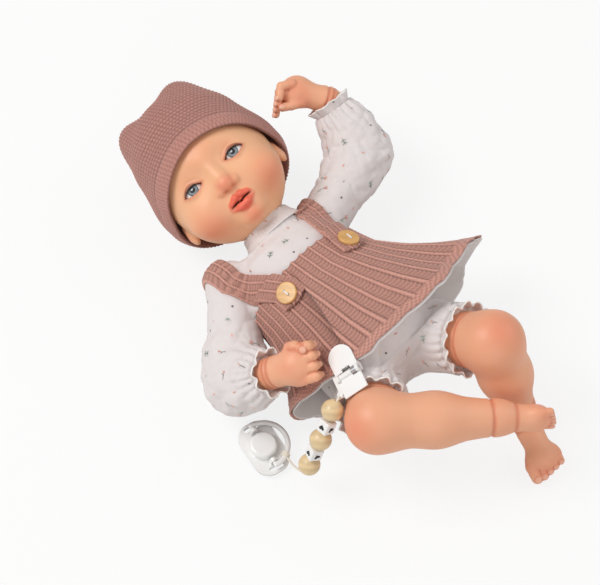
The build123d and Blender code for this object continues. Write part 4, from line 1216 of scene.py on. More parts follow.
def right_arm() -> Limb:
    """The right arm, its hand closed in front of the belly."""
    start, elbow, wrist, fist = SHOULDER[-1], ELBOW[-1], WRIST[-1], RIGHT_FIST
    axis, along = unit(elbow - start), unit(RIGHT_FIST - WRIST[-1])
    across = unit(np.cross(along, TO_VIEW))
    back = unit(np.cross(across, along))
    digits = []
    for k in range(4):
        knuckle = fist + along * 5 + across * (k - 1.5) * 6.9 + back * 2.5
        bend = knuckle + along * (10 - 0.6 * abs(k - 1)) - back * 1.0
        tip = bend - back * 8 - along * 2.5
        digits.append(Digit([knuckle, bend, tip], 3.9 - 0.15 * k, along))
    thumb = fist - across * 12.5
    thumb_points = [thumb, thumb + along * 6 + back * 3, thumb + along * 12 + back * 3 + across * 3]
    digits.append(Digit(thumb_points, 4.1, back))
    palm = [wrist - along * 2, fist, fist + along * 5]
    extras = [
        (lambda p: oval(p, fist + along * 1.5, (12.5, 14.0, 10.0), np.array([along, across, back])), 4.0),
        (lambda p: rod(p, palm[0], palm[1], 9.8, 12.0), 4.0),
    ]
    points = [start + axis * 27.3, elbow, wrist]
    return Limb(
        "right_arm", points, [13, 13, 10.2], digits, extras,
        [(wrist + along * 1.0, along, 0.9), (wrist - along * 2.4, along, 0.4)],
        [(fist + back * 10, 8, 0.35), (fist - across * 12, 7, 0.4), (elbow, 12, 0.5), (wrist, 6, 0.4)],
    )


def left_arm() -> Limb:
    """The left arm, raised beside the head with the fingers curled."""
    start, elbow, wrist, palm = SHOULDER[1], ELBOW[1], WRIST[1], LEFT_PALM
    axis, along = unit(elbow - start), unit(LEFT_TIPS - LEFT_PALM)
    across = unit(np.cross(along, TO_VIEW))
    back = unit(np.cross(across, along))
    spread = unit(back * 0.75 + across * 0.65)
    digits = []
    for k in range(4):
        knuckle = palm + along * 7 + spread * (1.5 - k) * 5.4
        bend = knuckle + along * (9 - 0.4 * abs(k - 1)) - across * 1.5
        tip = bend + along * 2 - across * 8
        digits.append(Digit([knuckle, bend, tip], 3.3 - 0.1 * k, unit(along + 0.4 * back)))
    thumb = palm - across * 8 + back * 3
    digits.append(Digit([thumb, thumb + along * 8 - across * 2, thumb + along * 15 - across * 3], 3.7, back))
    extras = [
        (lambda p: oval(p, palm + along * 1.5, (12.5, 12.0, 7.5), np.array([along, across, back])), 4.0),
        (lambda p: rod(p, wrist, palm, 9.6, 9.0), 4.0),
    ]
    points = [start + axis * 27.3, elbow, wrist]
    way = unit(palm - wrist)
    return Limb(
        "left_arm", points, [13, 13, 10.0], digits, extras,
        [(wrist + way * 2.0, way, 0.9), (wrist - way * 1.5, way, 0.4)],
        [(palm + back * 8, 7, 0.4), (thumb, 6, 0.4), (elbow, 12, 0.5), (wrist, 6, 0.4)],
    )


def thigh_line(s: int) -> Tuple[Array, float]:
    """Direction of the thigh and how far along it the leg opening of the shorts is."""
    return unit(KNEE[s] - HIP[s]), float(np.linalg.norm(KNEE[s] - HIP[s])) - OPENING_SHORT[s]


def leg(s: int) -> Limb:
    """A bent leg with its foot and five toes."""
    start, knee, ankle, toes = HIP[s], KNEE[s], ANKLE[s], TOES[s]
    axis, shin, along = unit(knee - start), unit(ankle - knee), unit(toes - ankle)
    across = unit(np.cross(along, shin))
    top = unit(np.cross(across, along))
    if top @ shin > 0:
        top = -top
    reach = float(np.linalg.norm(toes - ankle))
    heel = ankle + shin * 3
    ball_at = heel + along * reach * 0.72
    digits = []
    for k in range(5):
        base = heel + along * (reach * 0.72 + 3.5 - 0.5 * abs(k - 1)) + across * (k - 2) * 4.9
        tip = base + along * (8.6 - 0.9 * abs(k - 0.5)) - top * 0.6
        digits.append(Digit([base, tip], (4.3, 3.5, 3.3, 3.1, 2.9)[k], top))
    axes = np.array([along, across, top])
    extras = [
        (lambda p: rod(p, ankle, heel, 11.6, 11.2), 4.0),
        (lambda p: rod(p, heel, ball_at, 10.6, 8.2), 4.0),
        (lambda p: oval(p, ball_at, (9.5, 13.0, 7.6), axes), 4.0),
    ]
    calf = knee + (ankle - knee) * 0.5
    points = [start + axis * 26.3, knee, calf, ankle]
    edge = start + axis * thigh_line(s)[1]
    rings = [
        (ankle - shin * 3, shin, 1.0),
        (heel + along * reach * 0.30 + top * 4, along, 0.35),
        (edge + axis * 9, axis, 0.6),
    ]
    spots = [
        (knee + unit(knee - (start + ankle) / 2) * 17, 15, 0.75), (heel, 9, 0.5), (ball_at - top * 7, 9, 0.6),
        (ankle, 9, 0.45), (edge + axis * 6, 14, 0.4), (toes, 9, 0.5),
    ]
    return Limb(f"{SIDES[s]}_leg", points, [18.8, 19.4, 17.2, 12.0], digits, extras, rings, spots)


# ---- Clothes ---------------------------------------------------------------------------------
@dataclass
class Ruffle:
    """A gathered frill round an axis, with an overlocked edge.

    Args:
        start: middle of its seam.
        axis: the direction that it opens in.
        throat: radius at the elastic.
        mouth: radius at the edge.
        root: radius where it starts under the cloth.
        reach: how far the edge is from the elastic.
        scallops: waves round it.
        wave: how high they are.
        thick: thickness of the cloth.
        rows: rows of points from root to edge.
        hidden: how far the root lies behind the elastic, as a share of reach.
    """

    start: Array
    axis: Array
    throat: float
    mouth: float
    root: float
    reach: float
    scallops: int
    wave: float
    thick: float = 0.9
    rows: int = 16
    hidden: float = 0.45

    def rings(self) -> Array:
        """Rows of points, first outside from the root to the edge, then inside and back."""
        turn = full_turn(self.scallops * 14)
        round_it = circle(*cross_axes(self.axis), turn)
        phase = self.scallops * turn + 0.6 * np.sin(3 * turn)
        crimp = np.sin(phase) + 0.3 * np.sin(2 * self.scallops * turn + 1)
        outside, inside = [], []
        for t in np.linspace(-self.hidden, 1, self.rows):
            if t < 0:
                radius = self.throat + (self.root - self.throat) * (t / -self.hidden) ** 1.3
            else:
                radius = self.throat + (self.mouth - self.throat) * t**0.8
            rise = self.wave * max(t, 0) ** 0.8 + 0.35
            spread = radius + rise * crimp * (1 if t > -0.2 else 0.4)
            along = self.reach * t + 0.35 * self.wave * max(t, 0) * np.cos(phase)
            centre = self.start + self.axis * along[:, None]
            outside.append(centre + round_it * spread[:, None])
            inside.append(centre + round_it * (spread - self.thick)[:, None])
        return np.array(outside + inside[::-1])

    def net(self) -> Net:
        """The cloth of the frill."""
        return lattice(self.rings(), wrap_rows=True)

    def edge(self) -> Net:
        """The overlock thread along its edge."""
        rings = self.rings()
        middle = (rings[self.rows - 1] + rings[self.rows]) / 2 + self.axis * 0.1
        ways = np.roll(middle, -1, 0) - np.roll(middle, 1, 0)
        thick = 0.62 + 0.14 * np.sin(np.arange(len(middle)) * 1.3)
        return lattice(hoops(middle, ways, self.axis, thick, 6), wrap_rows=True)


@dataclass
class Romper:
    """Printed jersey romper: body, two sleeves, frills and collar."""

    pieces: List[bpy.types.Object] = field(default_factory=list)

    @staticmethod
    def gathers(p: Array, at: Array, axis: Array, count: int, reach: float, deep: float) -> Array:
        """Folds that run away from an elastic and die out."""
        turn, along = ring_angle(p, at, axis)
        wobble = 0.7 * np.sin(3 * turn + 1.3) + 0.5 * np.sin(along / 6 + 2 * turn)
        fade = np.exp(-np.abs(along) / reach)
        return deep * fade * (1 - 2 * np.abs(np.sin(count * turn / 2 + wobble)))

    def body_form(self, p: Array) -> Array:
        """Distance to the romper's body with its folds."""
        d = body_field(p) - 1.5
        folds = np.zeros(len(p), p.dtype)
        for s in SIDES:
            axis = unit(ELBOW[s] - SHOULDER[s])
            d = join(d, rod(p, SHOULDER[s] - axis * 8, SHOULDER[s] + axis * 20, 17.6, 17.6), 6)
            way, far = thigh_line(s)
            thigh = rod(p, HIP[s] - way * 8, HIP[s] + way * far, LEG_OPENING - 0.5, LEG_OPENING - 0.7)
            edge = HIP[s] + way * (far + 1)
            _turn, along = ring_angle(p, edge, way)
            thigh = within(thigh, along, 3.0)
            d = join(d, thigh, 9)
            folds += self.gathers(p, edge, way, count=22, reach=11, deep=1.0) * (np.abs(thigh) < 12)
        near = np.linalg.norm(p - NECK.astype(p.dtype), axis=1) < 45
        folds += self.gathers(p, NECK, NECK_AXIS, count=30, reach=9, deep=0.5) * near
        d = d + 0.9 * folds + 0.75 * waves(p, seed=7, longest=34, shortest=11)
        stand, throat = COLLAR_RADIUS - 2.4, COLLAR_RADIUS - 5.0
        d = join(d, rod(p, NECK - NECK_AXIS * 12, NECK - NECK_AXIS * 1, stand, stand), 6)
        d = carve(d, rod(p, NECK, HEAD_CENTRE, throat, throat), 1.0)
        return within(d, 2.6 - p[:, 2], 1.5)

    def sleeve_form(self, s: int) -> Field:
        """Distance to one sleeve with its folds."""
        start, elbow, wrist = SHOULDER[s], ELBOW[s], WRIST[s]
        axis, fore = unit(elbow - start), unit(wrist - elbow)
        cuff = wrist - fore * CUFF_BACK
        upper, lower = start + (elbow - start) * 0.72, elbow + (cuff - elbow) * 0.55
        points = [start + axis * 24, upper, elbow, lower, cuff]
        radii = [17.6, 19.6, 19.6, 18.2, 13.2]

        def form(p: Array) -> Array:
            d = chain(p, points, radii, 9)
            folds = self.gathers(p, cuff, fore, count=20, reach=10, deep=1.5)
            folds += self.gathers(p, elbow, unit(axis - fore), count=7, reach=16, deep=1.3)
            d = d + 0.8 * folds + 1.25 * waves(p, seed=20 + s, longest=26, shortest=10)
            _turn, along = ring_angle(p, cuff, fore)
            return within(d, along - 1.5, 1.0)

        return form

    def add(self, name: str, net: Net, body: str, nodes: Sequence[str]) -> None:
        """Adds one piece of jersey and keeps it for the print."""
        tint = np.tile(JERSEY, (len(net.points), 1))
        piece = make_piece(name, net, SHOP.get("jersey"), tint)
        self.pieces.append(settle(piece, body, "printed_jersey", *nodes))

    def frill(self, name: str, ruffle: Ruffle, body: str) -> None:
        """Adds a frill and its overlocked edge."""
        self.add(f"{name}_frill", ruffle.net(), body, ())
        settle(make_piece(f"{name}_overlock", ruffle.edge(), SHOP.get("thread")), body, "thread")

    def build(self) -> None:
        """Adds the whole romper."""
        net = surface(self.body_form, vec(-75, -120, 0), vec(75, 80, 96), 1.15)
        self.add("romper_body", net, "torso", ("romper_top", "romper_shorts"))
        for s in SIDES:
            spots = np.array([SHOULDER[s], ELBOW[s], WRIST[s]])
            net = surface(self.sleeve_form(s), spots.min(0) - 26, spots.max(0) + 26, 1.0)
            self.add(f"{SIDES[s]}_sleeve_cloth", net, f"{SIDES[s]}_arm", (f"{SIDES[s]}_sleeve",))
            fore = unit(WRIST[s] - ELBOW[s])
            cuff = Ruffle(
                WRIST[s] - fore * CUFF_BACK, fore, throat=12.0, mouth=16.2, root=13.8,
                reach=7.5, scallops=8, wave=1.2,
            )
            self.frill(f"{SIDES[s]}_cuff", cuff, f"{SIDES[s]}_arm")
            way, far = thigh_line(s)
            edge = Ruffle(
                HIP[s] + way * (far + 0.5), way, throat=21.6, mouth=25.0, root=24.0,
                reach=6.5, scallops=13, wave=1.1,
            )
            self.frill(f"{SIDES[s]}_leg", edge, "torso")
        self.collar()

    def collar(self) -> None:
        """The ribbed band round the neck."""
        turn = full_turn(360)
        round_it = circle(*cross_axes(NECK_AXIS), turn)
        rib = 0.16 * np.cos(90 * turn)
        rows = []
        for a in full_turn(20):
            wide = COLLAR_RADIUS - 2.0 + (0.9 + rib) * math.cos(a) - 2.2 * math.sin(a)
            rows.append(NECK + NECK_AXIS * (4.2 * math.sin(a)) + round_it * wide[:, None])
        self.add("collar_band", lattice(np.array(rows)[::-1], wrap_rows=True), "torso", ("romper_collar",))


# ---- Pinafore --------------------------------------------------------------------------------
def skirt_at(y: Array) -> Tuple[Array, Array, Array]:
    """Middle, half width and half depth of the skirt at stations."""
    rows = SKIRT_STATIONS[::-1]
    return tuple(np.interp(y, rows[:, 0], rows[:, k]) for k in (1, 2, 3))


def ladder(across: Array, down: Array, step: float) -> Tuple[Array, Array]:
    """The knit's relief: raised double wales with eyelets between, and rungs across the panels.

    Args:
        across: place across, in panels.
        down: place along the wales, in millimetres.
        step: height of one row.
    Returns:
        Height from 0 to 1, and painted shade: darker in the low places and in the eyelets.
    """
    place = across - np.floor(across)
    off = np.minimum(place, 1 - place)
    wale = np.exp(-((off / 0.105) ** 4))
    row = down / step
    stitch = 0.5 + 0.5 * np.cos(2 * math.pi * row)
    rung = (off > 0.2) * (0.5 + 0.5 * np.cos(2 * math.pi * (row + 0.25))) ** 0.8
    weave = 0.5 + 0.5 * np.cos(2 * math.pi * (place * 6 + 0.5 * np.floor(row)))
    hole = np.exp(-(((off - 0.175) / 0.04) ** 2)) * np.clip(1.5 * stitch - 0.3, 0, 1)
    height = np.maximum(wale * (0.8 + 0.2 * stitch), 0.66 * rung * (0.6 + 0.4 * weave) * (1 - wale))
    return height * (1 - hole), 0.50 + 0.48 * height - 0.30 * hole


@dataclass
class Pinafore:
    """Knitted skirt, its lining and both straps.

    Args:
        panels: ladder panels round the skirt.
        step: height of one knitted row.
        lap: height of the lapped fold.
        strap_panel: width of one ladder panel on the straps.
        lean: how far each strap leans out over its shoulder, by side.
    """

    panels: int = 38
    step: float = 2.7
    lap: float = 7.5
    strap_panel: float = 6.6
    lean: Dict[int, float] = field(default_factory=lambda: {-1: 17.0, 1: 5.0})

    @staticmethod
    def past_lap(turn: Array, share: Array) -> Array:
        """Degrees past the edge of the panel that laps over the right side of the skirt."""
        return np.degrees(turn) - 108 - 22 * share

    def edges(self, turn: Array, longer: float) -> Tuple[Array, Array]:
        """Where the skirt starts and ends.

        Args:
            turn: angles round it.
            longer: how much longer it hangs at the hem.
        Returns:
            The y of its top edge and of its hem.
        """
        hem = np.full(len(turn), -45.0)
        for _ in range(8):
            middle, wide, _deep = skirt_at(hem)
            hem = np.interp(middle + wide * np.cos(turn), HEM[:, 0], HEM[:, 1])
        hem = hem - longer - 1.2 * np.abs(np.sin(turn * self.panels / 4))
        return SKIRT_TOP - 1.0 - 1.3 * np.abs(np.sin(turn * self.panels / 2)), hem

    def folds(self, turn: Array, share: Array, x: Array, y: Array) -> Tuple[Array, Array]:
        """How far the cloth stands out; it lies flat by the clip and the straps.

        Args:
            turn: angles round the skirt.
            share: way down it, as a column.
            x: where each point is across.
            y: where each point is along the body.
        Returns:
            Height of the waves and crimps, and height of the lapped fold.
        """
        clear = 1 - np.exp(-(np.hypot(x - CLIP_MIDDLE[0], y - CLIP_MIDDLE[1]) / 24) ** 2)
        for s in SIDES:
            clear *= 1 - np.exp(-(np.hypot(x - s * STRAP_X, y - 20) / 17) ** 2)
        fold = np.sin(11 * turn + 0.8 * np.sin(2 * turn))[None] * share**1.2
        crimp = np.sin(turn * self.panels)[None] * np.exp(-share / 0.10)
        lap = self.past_lap(turn[None], share) / 24
        lap = self.lap * np.clip(1 + lap, 0, 1) ** 1.6 * np.clip(1 - lap * 22, 0, 1)
        lap = lap * np.clip(share * 4, 0, 1)
        return 1.9 * fold * clear + 0.45 * crimp * clear, lap * clear**1.5

    def shell(self, grow: float, longer: float, columns: int, rows: int) -> Tuple[Array, Array, Array]:
        """Points of the skirt, with its folds.

        Args:
            grow: how far outside the outline they lie.
            longer: how much longer it hangs at the hem.
            columns: points round it.
            rows: points down it.
        Returns:
            The points, their outward directions, and how far down each is.
        """
        turn = full_turn(columns)
        top, hem = self.edges(turn, longer)
        share = np.linspace(0, 1, rows)[:, None]
        y = top + (hem - top) * share
        middle, wide, deep = skirt_at(y)
        cos, sin = np.cos(turn)[None], np.sin(turn)[None]
        x, z = middle + (wide + grow) * cos, BODY_Z + (deep + grow) * sin
        out = np.stack([cos / wide, 0 * y, sin / deep], -1)
        out /= np.linalg.norm(out, axis=2, keepdims=True)
        points = np.stack([x, y, z], -1)
        for rise in self.folds(turn, share, x, y):
            points = points + out * rise[..., None]
        for angle, width, pull in ((12, 0.55, vec(15.0, 2.5, 7.0)), (188, 0.40, vec(-14.0, 8.0, -2.5))):
            reach = share**2 * bell(turn[None] - math.radians(angle), width)
            points = points + reach[..., None] * pull
        return points, out, share * np.abs(top - hem)

    def hem_band(self, height: Array, shade: Array, around: Array, down: Array) -> Tuple[Array, Array]:
        """The moss-stitch band along the hem, laid over the knit's relief.

        Args:
            height: the knit's relief.
            shade: its painted shade.
            around: way round the skirt, from 0 to 1.
            down: way down it, in millimetres.
        Returns:
            Both with the band.
        """
        left = down[-1][None] - down
        band = np.clip((6.5 - left) / 0.8, 0, 1)
        moss = 0.5 + 0.5 * np.sin(around * math.pi * 2 * self.panels * 3) * np.sin(down * math.pi / 1.5)
        height = height * (1 - band) + (0.35 + 0.5 * moss) * band
        line = np.exp(-(((left - 6.7) / 0.6) ** 2)) + np.exp(-(((left - 0.6) / 0.7) ** 2))
        # In the band the painted shade follows the moss stitches, darker in their low places.
        return np.clip(height + 0.6 * line, 0, 1.2), shade * (1 - band) + (0.5 + 0.5 * moss) * band

    def skirt(self) -> None:
        """Adds the knitted skirt."""
        columns, rows, back_rows = 640, 104, 48
        points, out, down = self.shell(-0.75, 0.0, columns, rows)
        around = np.linspace(0, 1, columns, endpoint=False)[None]
        height, shade = ladder(around * self.panels, down, self.step)
        share = np.linspace(0, 1, rows)[:, None]
        past = self.past_lap(2 * math.pi * around, share)
        # Painted shadow on the cloth just past the edge of the lapped panel.
        shade = shade * (1 - 0.5 * np.exp(-past / 5.0) * (past > 0) * np.clip(share * 3, 0, 1))
        height, shade = self.hem_band(height, shade, around, down)
        points = points + out * (0.95 * height)[..., None]
        back, _out, _down = self.shell(-1.6, 0.0, columns, back_rows)
        points[..., 2] = np.maximum(points[..., 2], 0.3)
        back[..., 2] = np.maximum(back[..., 2], 1.4)
        net = lattice(np.concatenate([points, back[::-1]]), wrap_rows=True)
        # Painted shade inside the skirt: 0.75 of the yarn colour.
        behind = np.full((back_rows, columns), 0.75)
        shade = np.concatenate([shade * np.ones((rows, columns)), behind]).ravel()
        piece = make_piece("skirt_knit", net, SHOP.get("rose"), ROSE_YARN * shade[:, None])
        settle(piece, "torso", "rose_knit", "pinafore_skirt")

    def lining(self) -> None:
        """Adds the lining, sewn in below the waist and a little longer than the skirt."""
        columns, rows, seam, longer = 640, 60, 24, 1.5
        layers = []
        for grow, floor in ((-2.3, 1.5), (-2.9, 2.1)):
            layer, _out, _down = self.shell(grow, longer, columns, rows)
            layer[..., 2] = np.maximum(layer[..., 2], floor)
            layers.append(layer[seam:])
        net = lattice(np.concatenate([layers[0], layers[1][::-1]]), wrap_rows=True)
        settle(make_piece("skirt_lining", net, SHOP.get("lining")), "torso", "printed_jersey")

    @staticmethod
    def skirt_field(p: Array) -> Array:
        """Distance to the skirt's outline."""
        return round_section(p, *skirt_at(p[:, 1]))

    def strap_place(self, s: int, p: Array) -> Tuple[Array, Array]:
        """How far points are across the strap's middle line and along it."""
        middle = s * (STRAP_X + self.lean[s] * np.clip((p[:, 1] - 18) / 36, 0, 1))
        return p[:, 0] - middle, np.arctan2(p[:, 2] - BODY_Z, p[:, 1] - 12) * 46

    def strap_form(self, s: int) -> Field:
        """Distance to one strap, knit relief included."""
        axis = unit(ELBOW[s] - SHOULDER[s])
        hole = COLLAR_RADIUS + 0.6

        def form(p: Array) -> Array:
            y, z = p[:, 1], p[:, 2]
            body = join(body_field(p), rod(p, SHOULDER[s] - axis * 8, SHOULDER[s] + axis * 21, 16.2, 16.2), 6)
            over = np.abs(body - 3.3) - 1.15
            over = within(over, SKIRT_TOP - 1 - y, 0.4)
            flare = self.skirt_field(p)
            tab = np.abs(flare - 1.3) - 1.1
            off, along = self.strap_place(s, p)
            point = STRAP_END + 0.25 * np.abs(off)
            tab = within(within(tab, point - y, 0.5), y - (SKIRT_TOP + 3), 0.5)
            tab = within(tab, BODY_Z - z, 0.3)
            d = join(over, tab, 1.6)
            side = np.abs(off) - STRAP_WIDTH / 2
            d = within(d, side, 1.0)
            height, _shade = ladder(off / self.strap_panel + 0.5, along, self.step)
            d = d - 0.65 * height * (side < -0.8)
            d = carve(d, rod(p, NECK, HEAD_CENTRE, hole, hole), 0.4)
            return within(d, 0.4 - z, 0.4)

        return form

    def strap(self, s: int) -> None:
        """Adds one strap."""
        ends = s * STRAP_X, s * (STRAP_X + self.lean[s])
        low, high = vec(min(ends) - 11, 3, -1), vec(max(ends) + 11, 80, 98)
        net = surface(self.strap_form(s), low, high, 0.8, tidy=1)
        off, along = self.strap_place(s, net.points)
        # Painted shade from the knit's relief, as on the skirt; the strap's edges get an even 0.85.
        _height, shade = ladder(off / self.strap_panel + 0.5, along, self.step)
        edge = np.abs(np.abs(off) - STRAP_WIDTH / 2) < 0.8
        shade = np.where(edge, 0.85, shade)
        piece = make_piece(f"{SIDES[s]}_strap_knit", net, SHOP.get("rose"), ROSE_YARN * shade[:, None])
        settle(piece, "torso", "rose_knit", f"{SIDES[s]}_strap")

    def build(self) -> None:
        """Adds the skirt, its lining and both straps."""
        self.skirt()
        self.lining()
        for s in SIDES:
            self.strap(s)


# ---- Clip, beads and pacifier ----------------------------------------------------------------
def finish_node(node: str, key: str) -> bpy.types.Object:
    """Gives a frame node its finish.

    Args:
        node: its name.
        key: key of FINISHES.
    Returns:
        The node's object.
    """
    piece = frame["nodes"][node]
    piece.data.materials.clear()
    piece.data.materials.append(SHOP.get(key))
    return piece


def centre_of(node: str) -> Array:
    """Middle of a frame node's box, in millimetres."""
    low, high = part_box(node)
    return (np.array(low) + np.array(high)) * 500


@dataclass
class Hardware:
    """The hard pieces that the frame already shapes, and what they hide.

    Args:
        finishes: key of FINISHES and slot for each node.
    """

    finishes: Dict[str, Tuple[str, str]] = field(
        default_factory=lambda: {
            **{n: ("white", "white_plastic") for n in (
                "clip_body", "clip_lever", "pacifier_shield", "pacifier_cap", "pacifier_handle",
                "chain_cube_1", "chain_cube_2",
            )},
            **{n: ("bead", "bead_wood") for n in ("chain_bead_1", "chain_bead_2", "chain_bead_3")},
            **{n: ("button", "button_wood") for n in ("right_button", "left_button")},
            **{n: ("thread", "thread") for n in ("right_button_thread", "left_button_thread")},
            **{n: ("steel", "steel") for n in (
                "door_screw", "case_screws", "button_spring", "battery_contacts", "clip_pin", "clip_spring",
            )},
            **{n: ("case", "case_plastic") for n in (
                "case_back", "case_front", "battery_door", "power_switch",
            )},
            **{n: ("tie", "nylon_tie") for n in (
                "neck_tie", "right_arm_tie", "left_arm_tie", "right_leg_tie", "left_leg_tie",
            )},
            "press_button": ("press", "press_plastic"),
            "circuit_board": ("board", "board"),
            "speaker": ("steel", "speaker_metal"),
            "battery_cells": ("cell", "cell_jacket"),
            "body_cover": ("cover", "cotton_cover"),
            "body_stuffing": ("filling", "stuffing"),
            "mouth_magnet": ("steel", "magnet"),
            "pacifier_magnet": ("steel", "magnet"),
        }
    )

    def build(self) -> None:
        """Gives every hard node its finish."""
        for node, (key, slot) in self.finishes.items():
            finish_node(node, key)


def heart(size: float, thick: float) -> Tuple[Array, Array]:
    """Outline of a heart and its thickness as two rings.

    Args:
        size: its width.
        thick: its thickness.
    Returns:
        The rings below and above, lying in the XY plane.
    """
    t = full_turn(40)
    x = 16 * np.sin(t) ** 3
    y = 13 * np.cos(t) - 5 * np.cos(2 * t) - 2 * np.cos(3 * t) - np.cos(4 * t) + 2
    ring = np.stack([x, y, 0 * t], -1) * (size / 32)
    return ring[::-1], ring[::-1] + vec(0, 0, thick)


@dataclass
class Chain:
    """The cord with its knot, and the hearts stamped on the cubes."""

    def cord(self) -> None:
        """Adds the cord as a curve through the frame's bends, and the wound knot on the handle."""
        spots = [
            (-57.48, -63.61, 75.44), (-60.89, -64.77, 77.09), (-66.60, -66.00, 72.00),
            (-74.61, -68.43, 63.26), (-80.90, -69.40, 52.97), (-87.22, -69.64, 42.65),
            (-92.79, -70.37, 31.94), (-97.81, -69.86, 23.30), (-96.50, -57.00, 14.50),
            (-94.09, -50.26, 11.08),
        ]
        curve = bpy.data.curves.new("pacifier_cord", "CURVE")
        curve.dimensions = "3D"
        curve.bevel_depth = 0.8 * MM
        curve.bevel_resolution = 4
        curve.resolution_u = 12
        curve.use_fill_caps = True
        spline = curve.splines.new("NURBS")
        spline.points.add(len(spots) - 1)
        for point, spot in zip(spline.points, spots):
            point.co = (*[c * MM for c in spot], 1.0)
        spline.order_u = 3
        spline.use_endpoint_u = True
        curve.materials.append(SHOP.get("cord"))
        line = bpy.data.objects.new("pacifier_cord", curve)
        bpy.context.scene.collection.objects.link(line)
        settle(line, "torso", "cord", "chain_cord")
        knot = self.knot()

    def knot(self) -> bpy.types.Object:
        """The cord wound round the handle, nearly three times."""
        centre = centre_of("handle_knot")
        out = unit((centre - pivot("pacifier_pivot")) * vec(1, 1, 0))
        along = unit(np.cross(vec(0, 0, 1), out))
        t = np.linspace(0, 1, 120)
        turns, radius, long, yarn = 2.75, 2.35, 3.4, 0.72
        line = centre + circle(out, vec(0, 0, 1), t * 2 * math.pi * turns) * radius
        line = line + along * ((t - 0.5) * long)[:, None]
        net = hose(line, np.full(len(line), yarn), 10)
        return settle(make_piece("knot_winding", net, SHOP.get("cord")), "torso", "cord", "handle_knot")

    @staticmethod
    def free_sides(node: bpy.types.Object, points: Array, centre: Array) -> List[Tuple[Array, Array]]:
        """The flat sides of a cube that can be seen and carry no bore.

        Args:
            node: the cube.
            points: its vertices in millimetres.
            centre: its middle.
        Returns:
            Direction and middle of each side.
        """
        ways: List[Array] = []
        for face in sorted(node.data.polygons, key=lambda f: -f.area)[:12]:
            way = np.array(face.normal)
            known = any(abs(other @ way) > 0.9 for other in ways)
            if not known and way @ TO_VIEW >= -0.2:
                ways.append(way)
        sides = [(way, centre + way * ((points - centre) @ way).max()) for way in ways]
        return [(way, spot) for way, spot in sides if np.linalg.norm(points - spot, axis=1).min() >= 1.9]

    def hearts(self) -> None:
        """Small hearts on the free side faces of each cube."""
        for name in ("chain_cube_1", "chain_cube_2"):
            node = frame["nodes"][name]
            points = np.array([v.co for v in node.data.vertices]) * 1000
            centre = (points.min(0) + points.max(0)) / 2
            nets = []
            for way, spot in self.free_sides(node, points, centre):
                side = unit(np.cross(way, vec(0.1, 0.3, 0.9)))
                axes = np.array([side, np.cross(way, side), way])
                net = lattice(np.array(heart(4.2, 0.12)))
                nets.append(net.placed(axes, spot - way * 0.02))
            if nets:
                piece = make_piece(f"{name}_hearts", merged(nets), SHOP.get("ink"))
                settle(piece, "torso", "white_plastic")

    def build(self) -> None:
        """Adds the cord and the hearts."""
        self.cord()
        self.hearts()


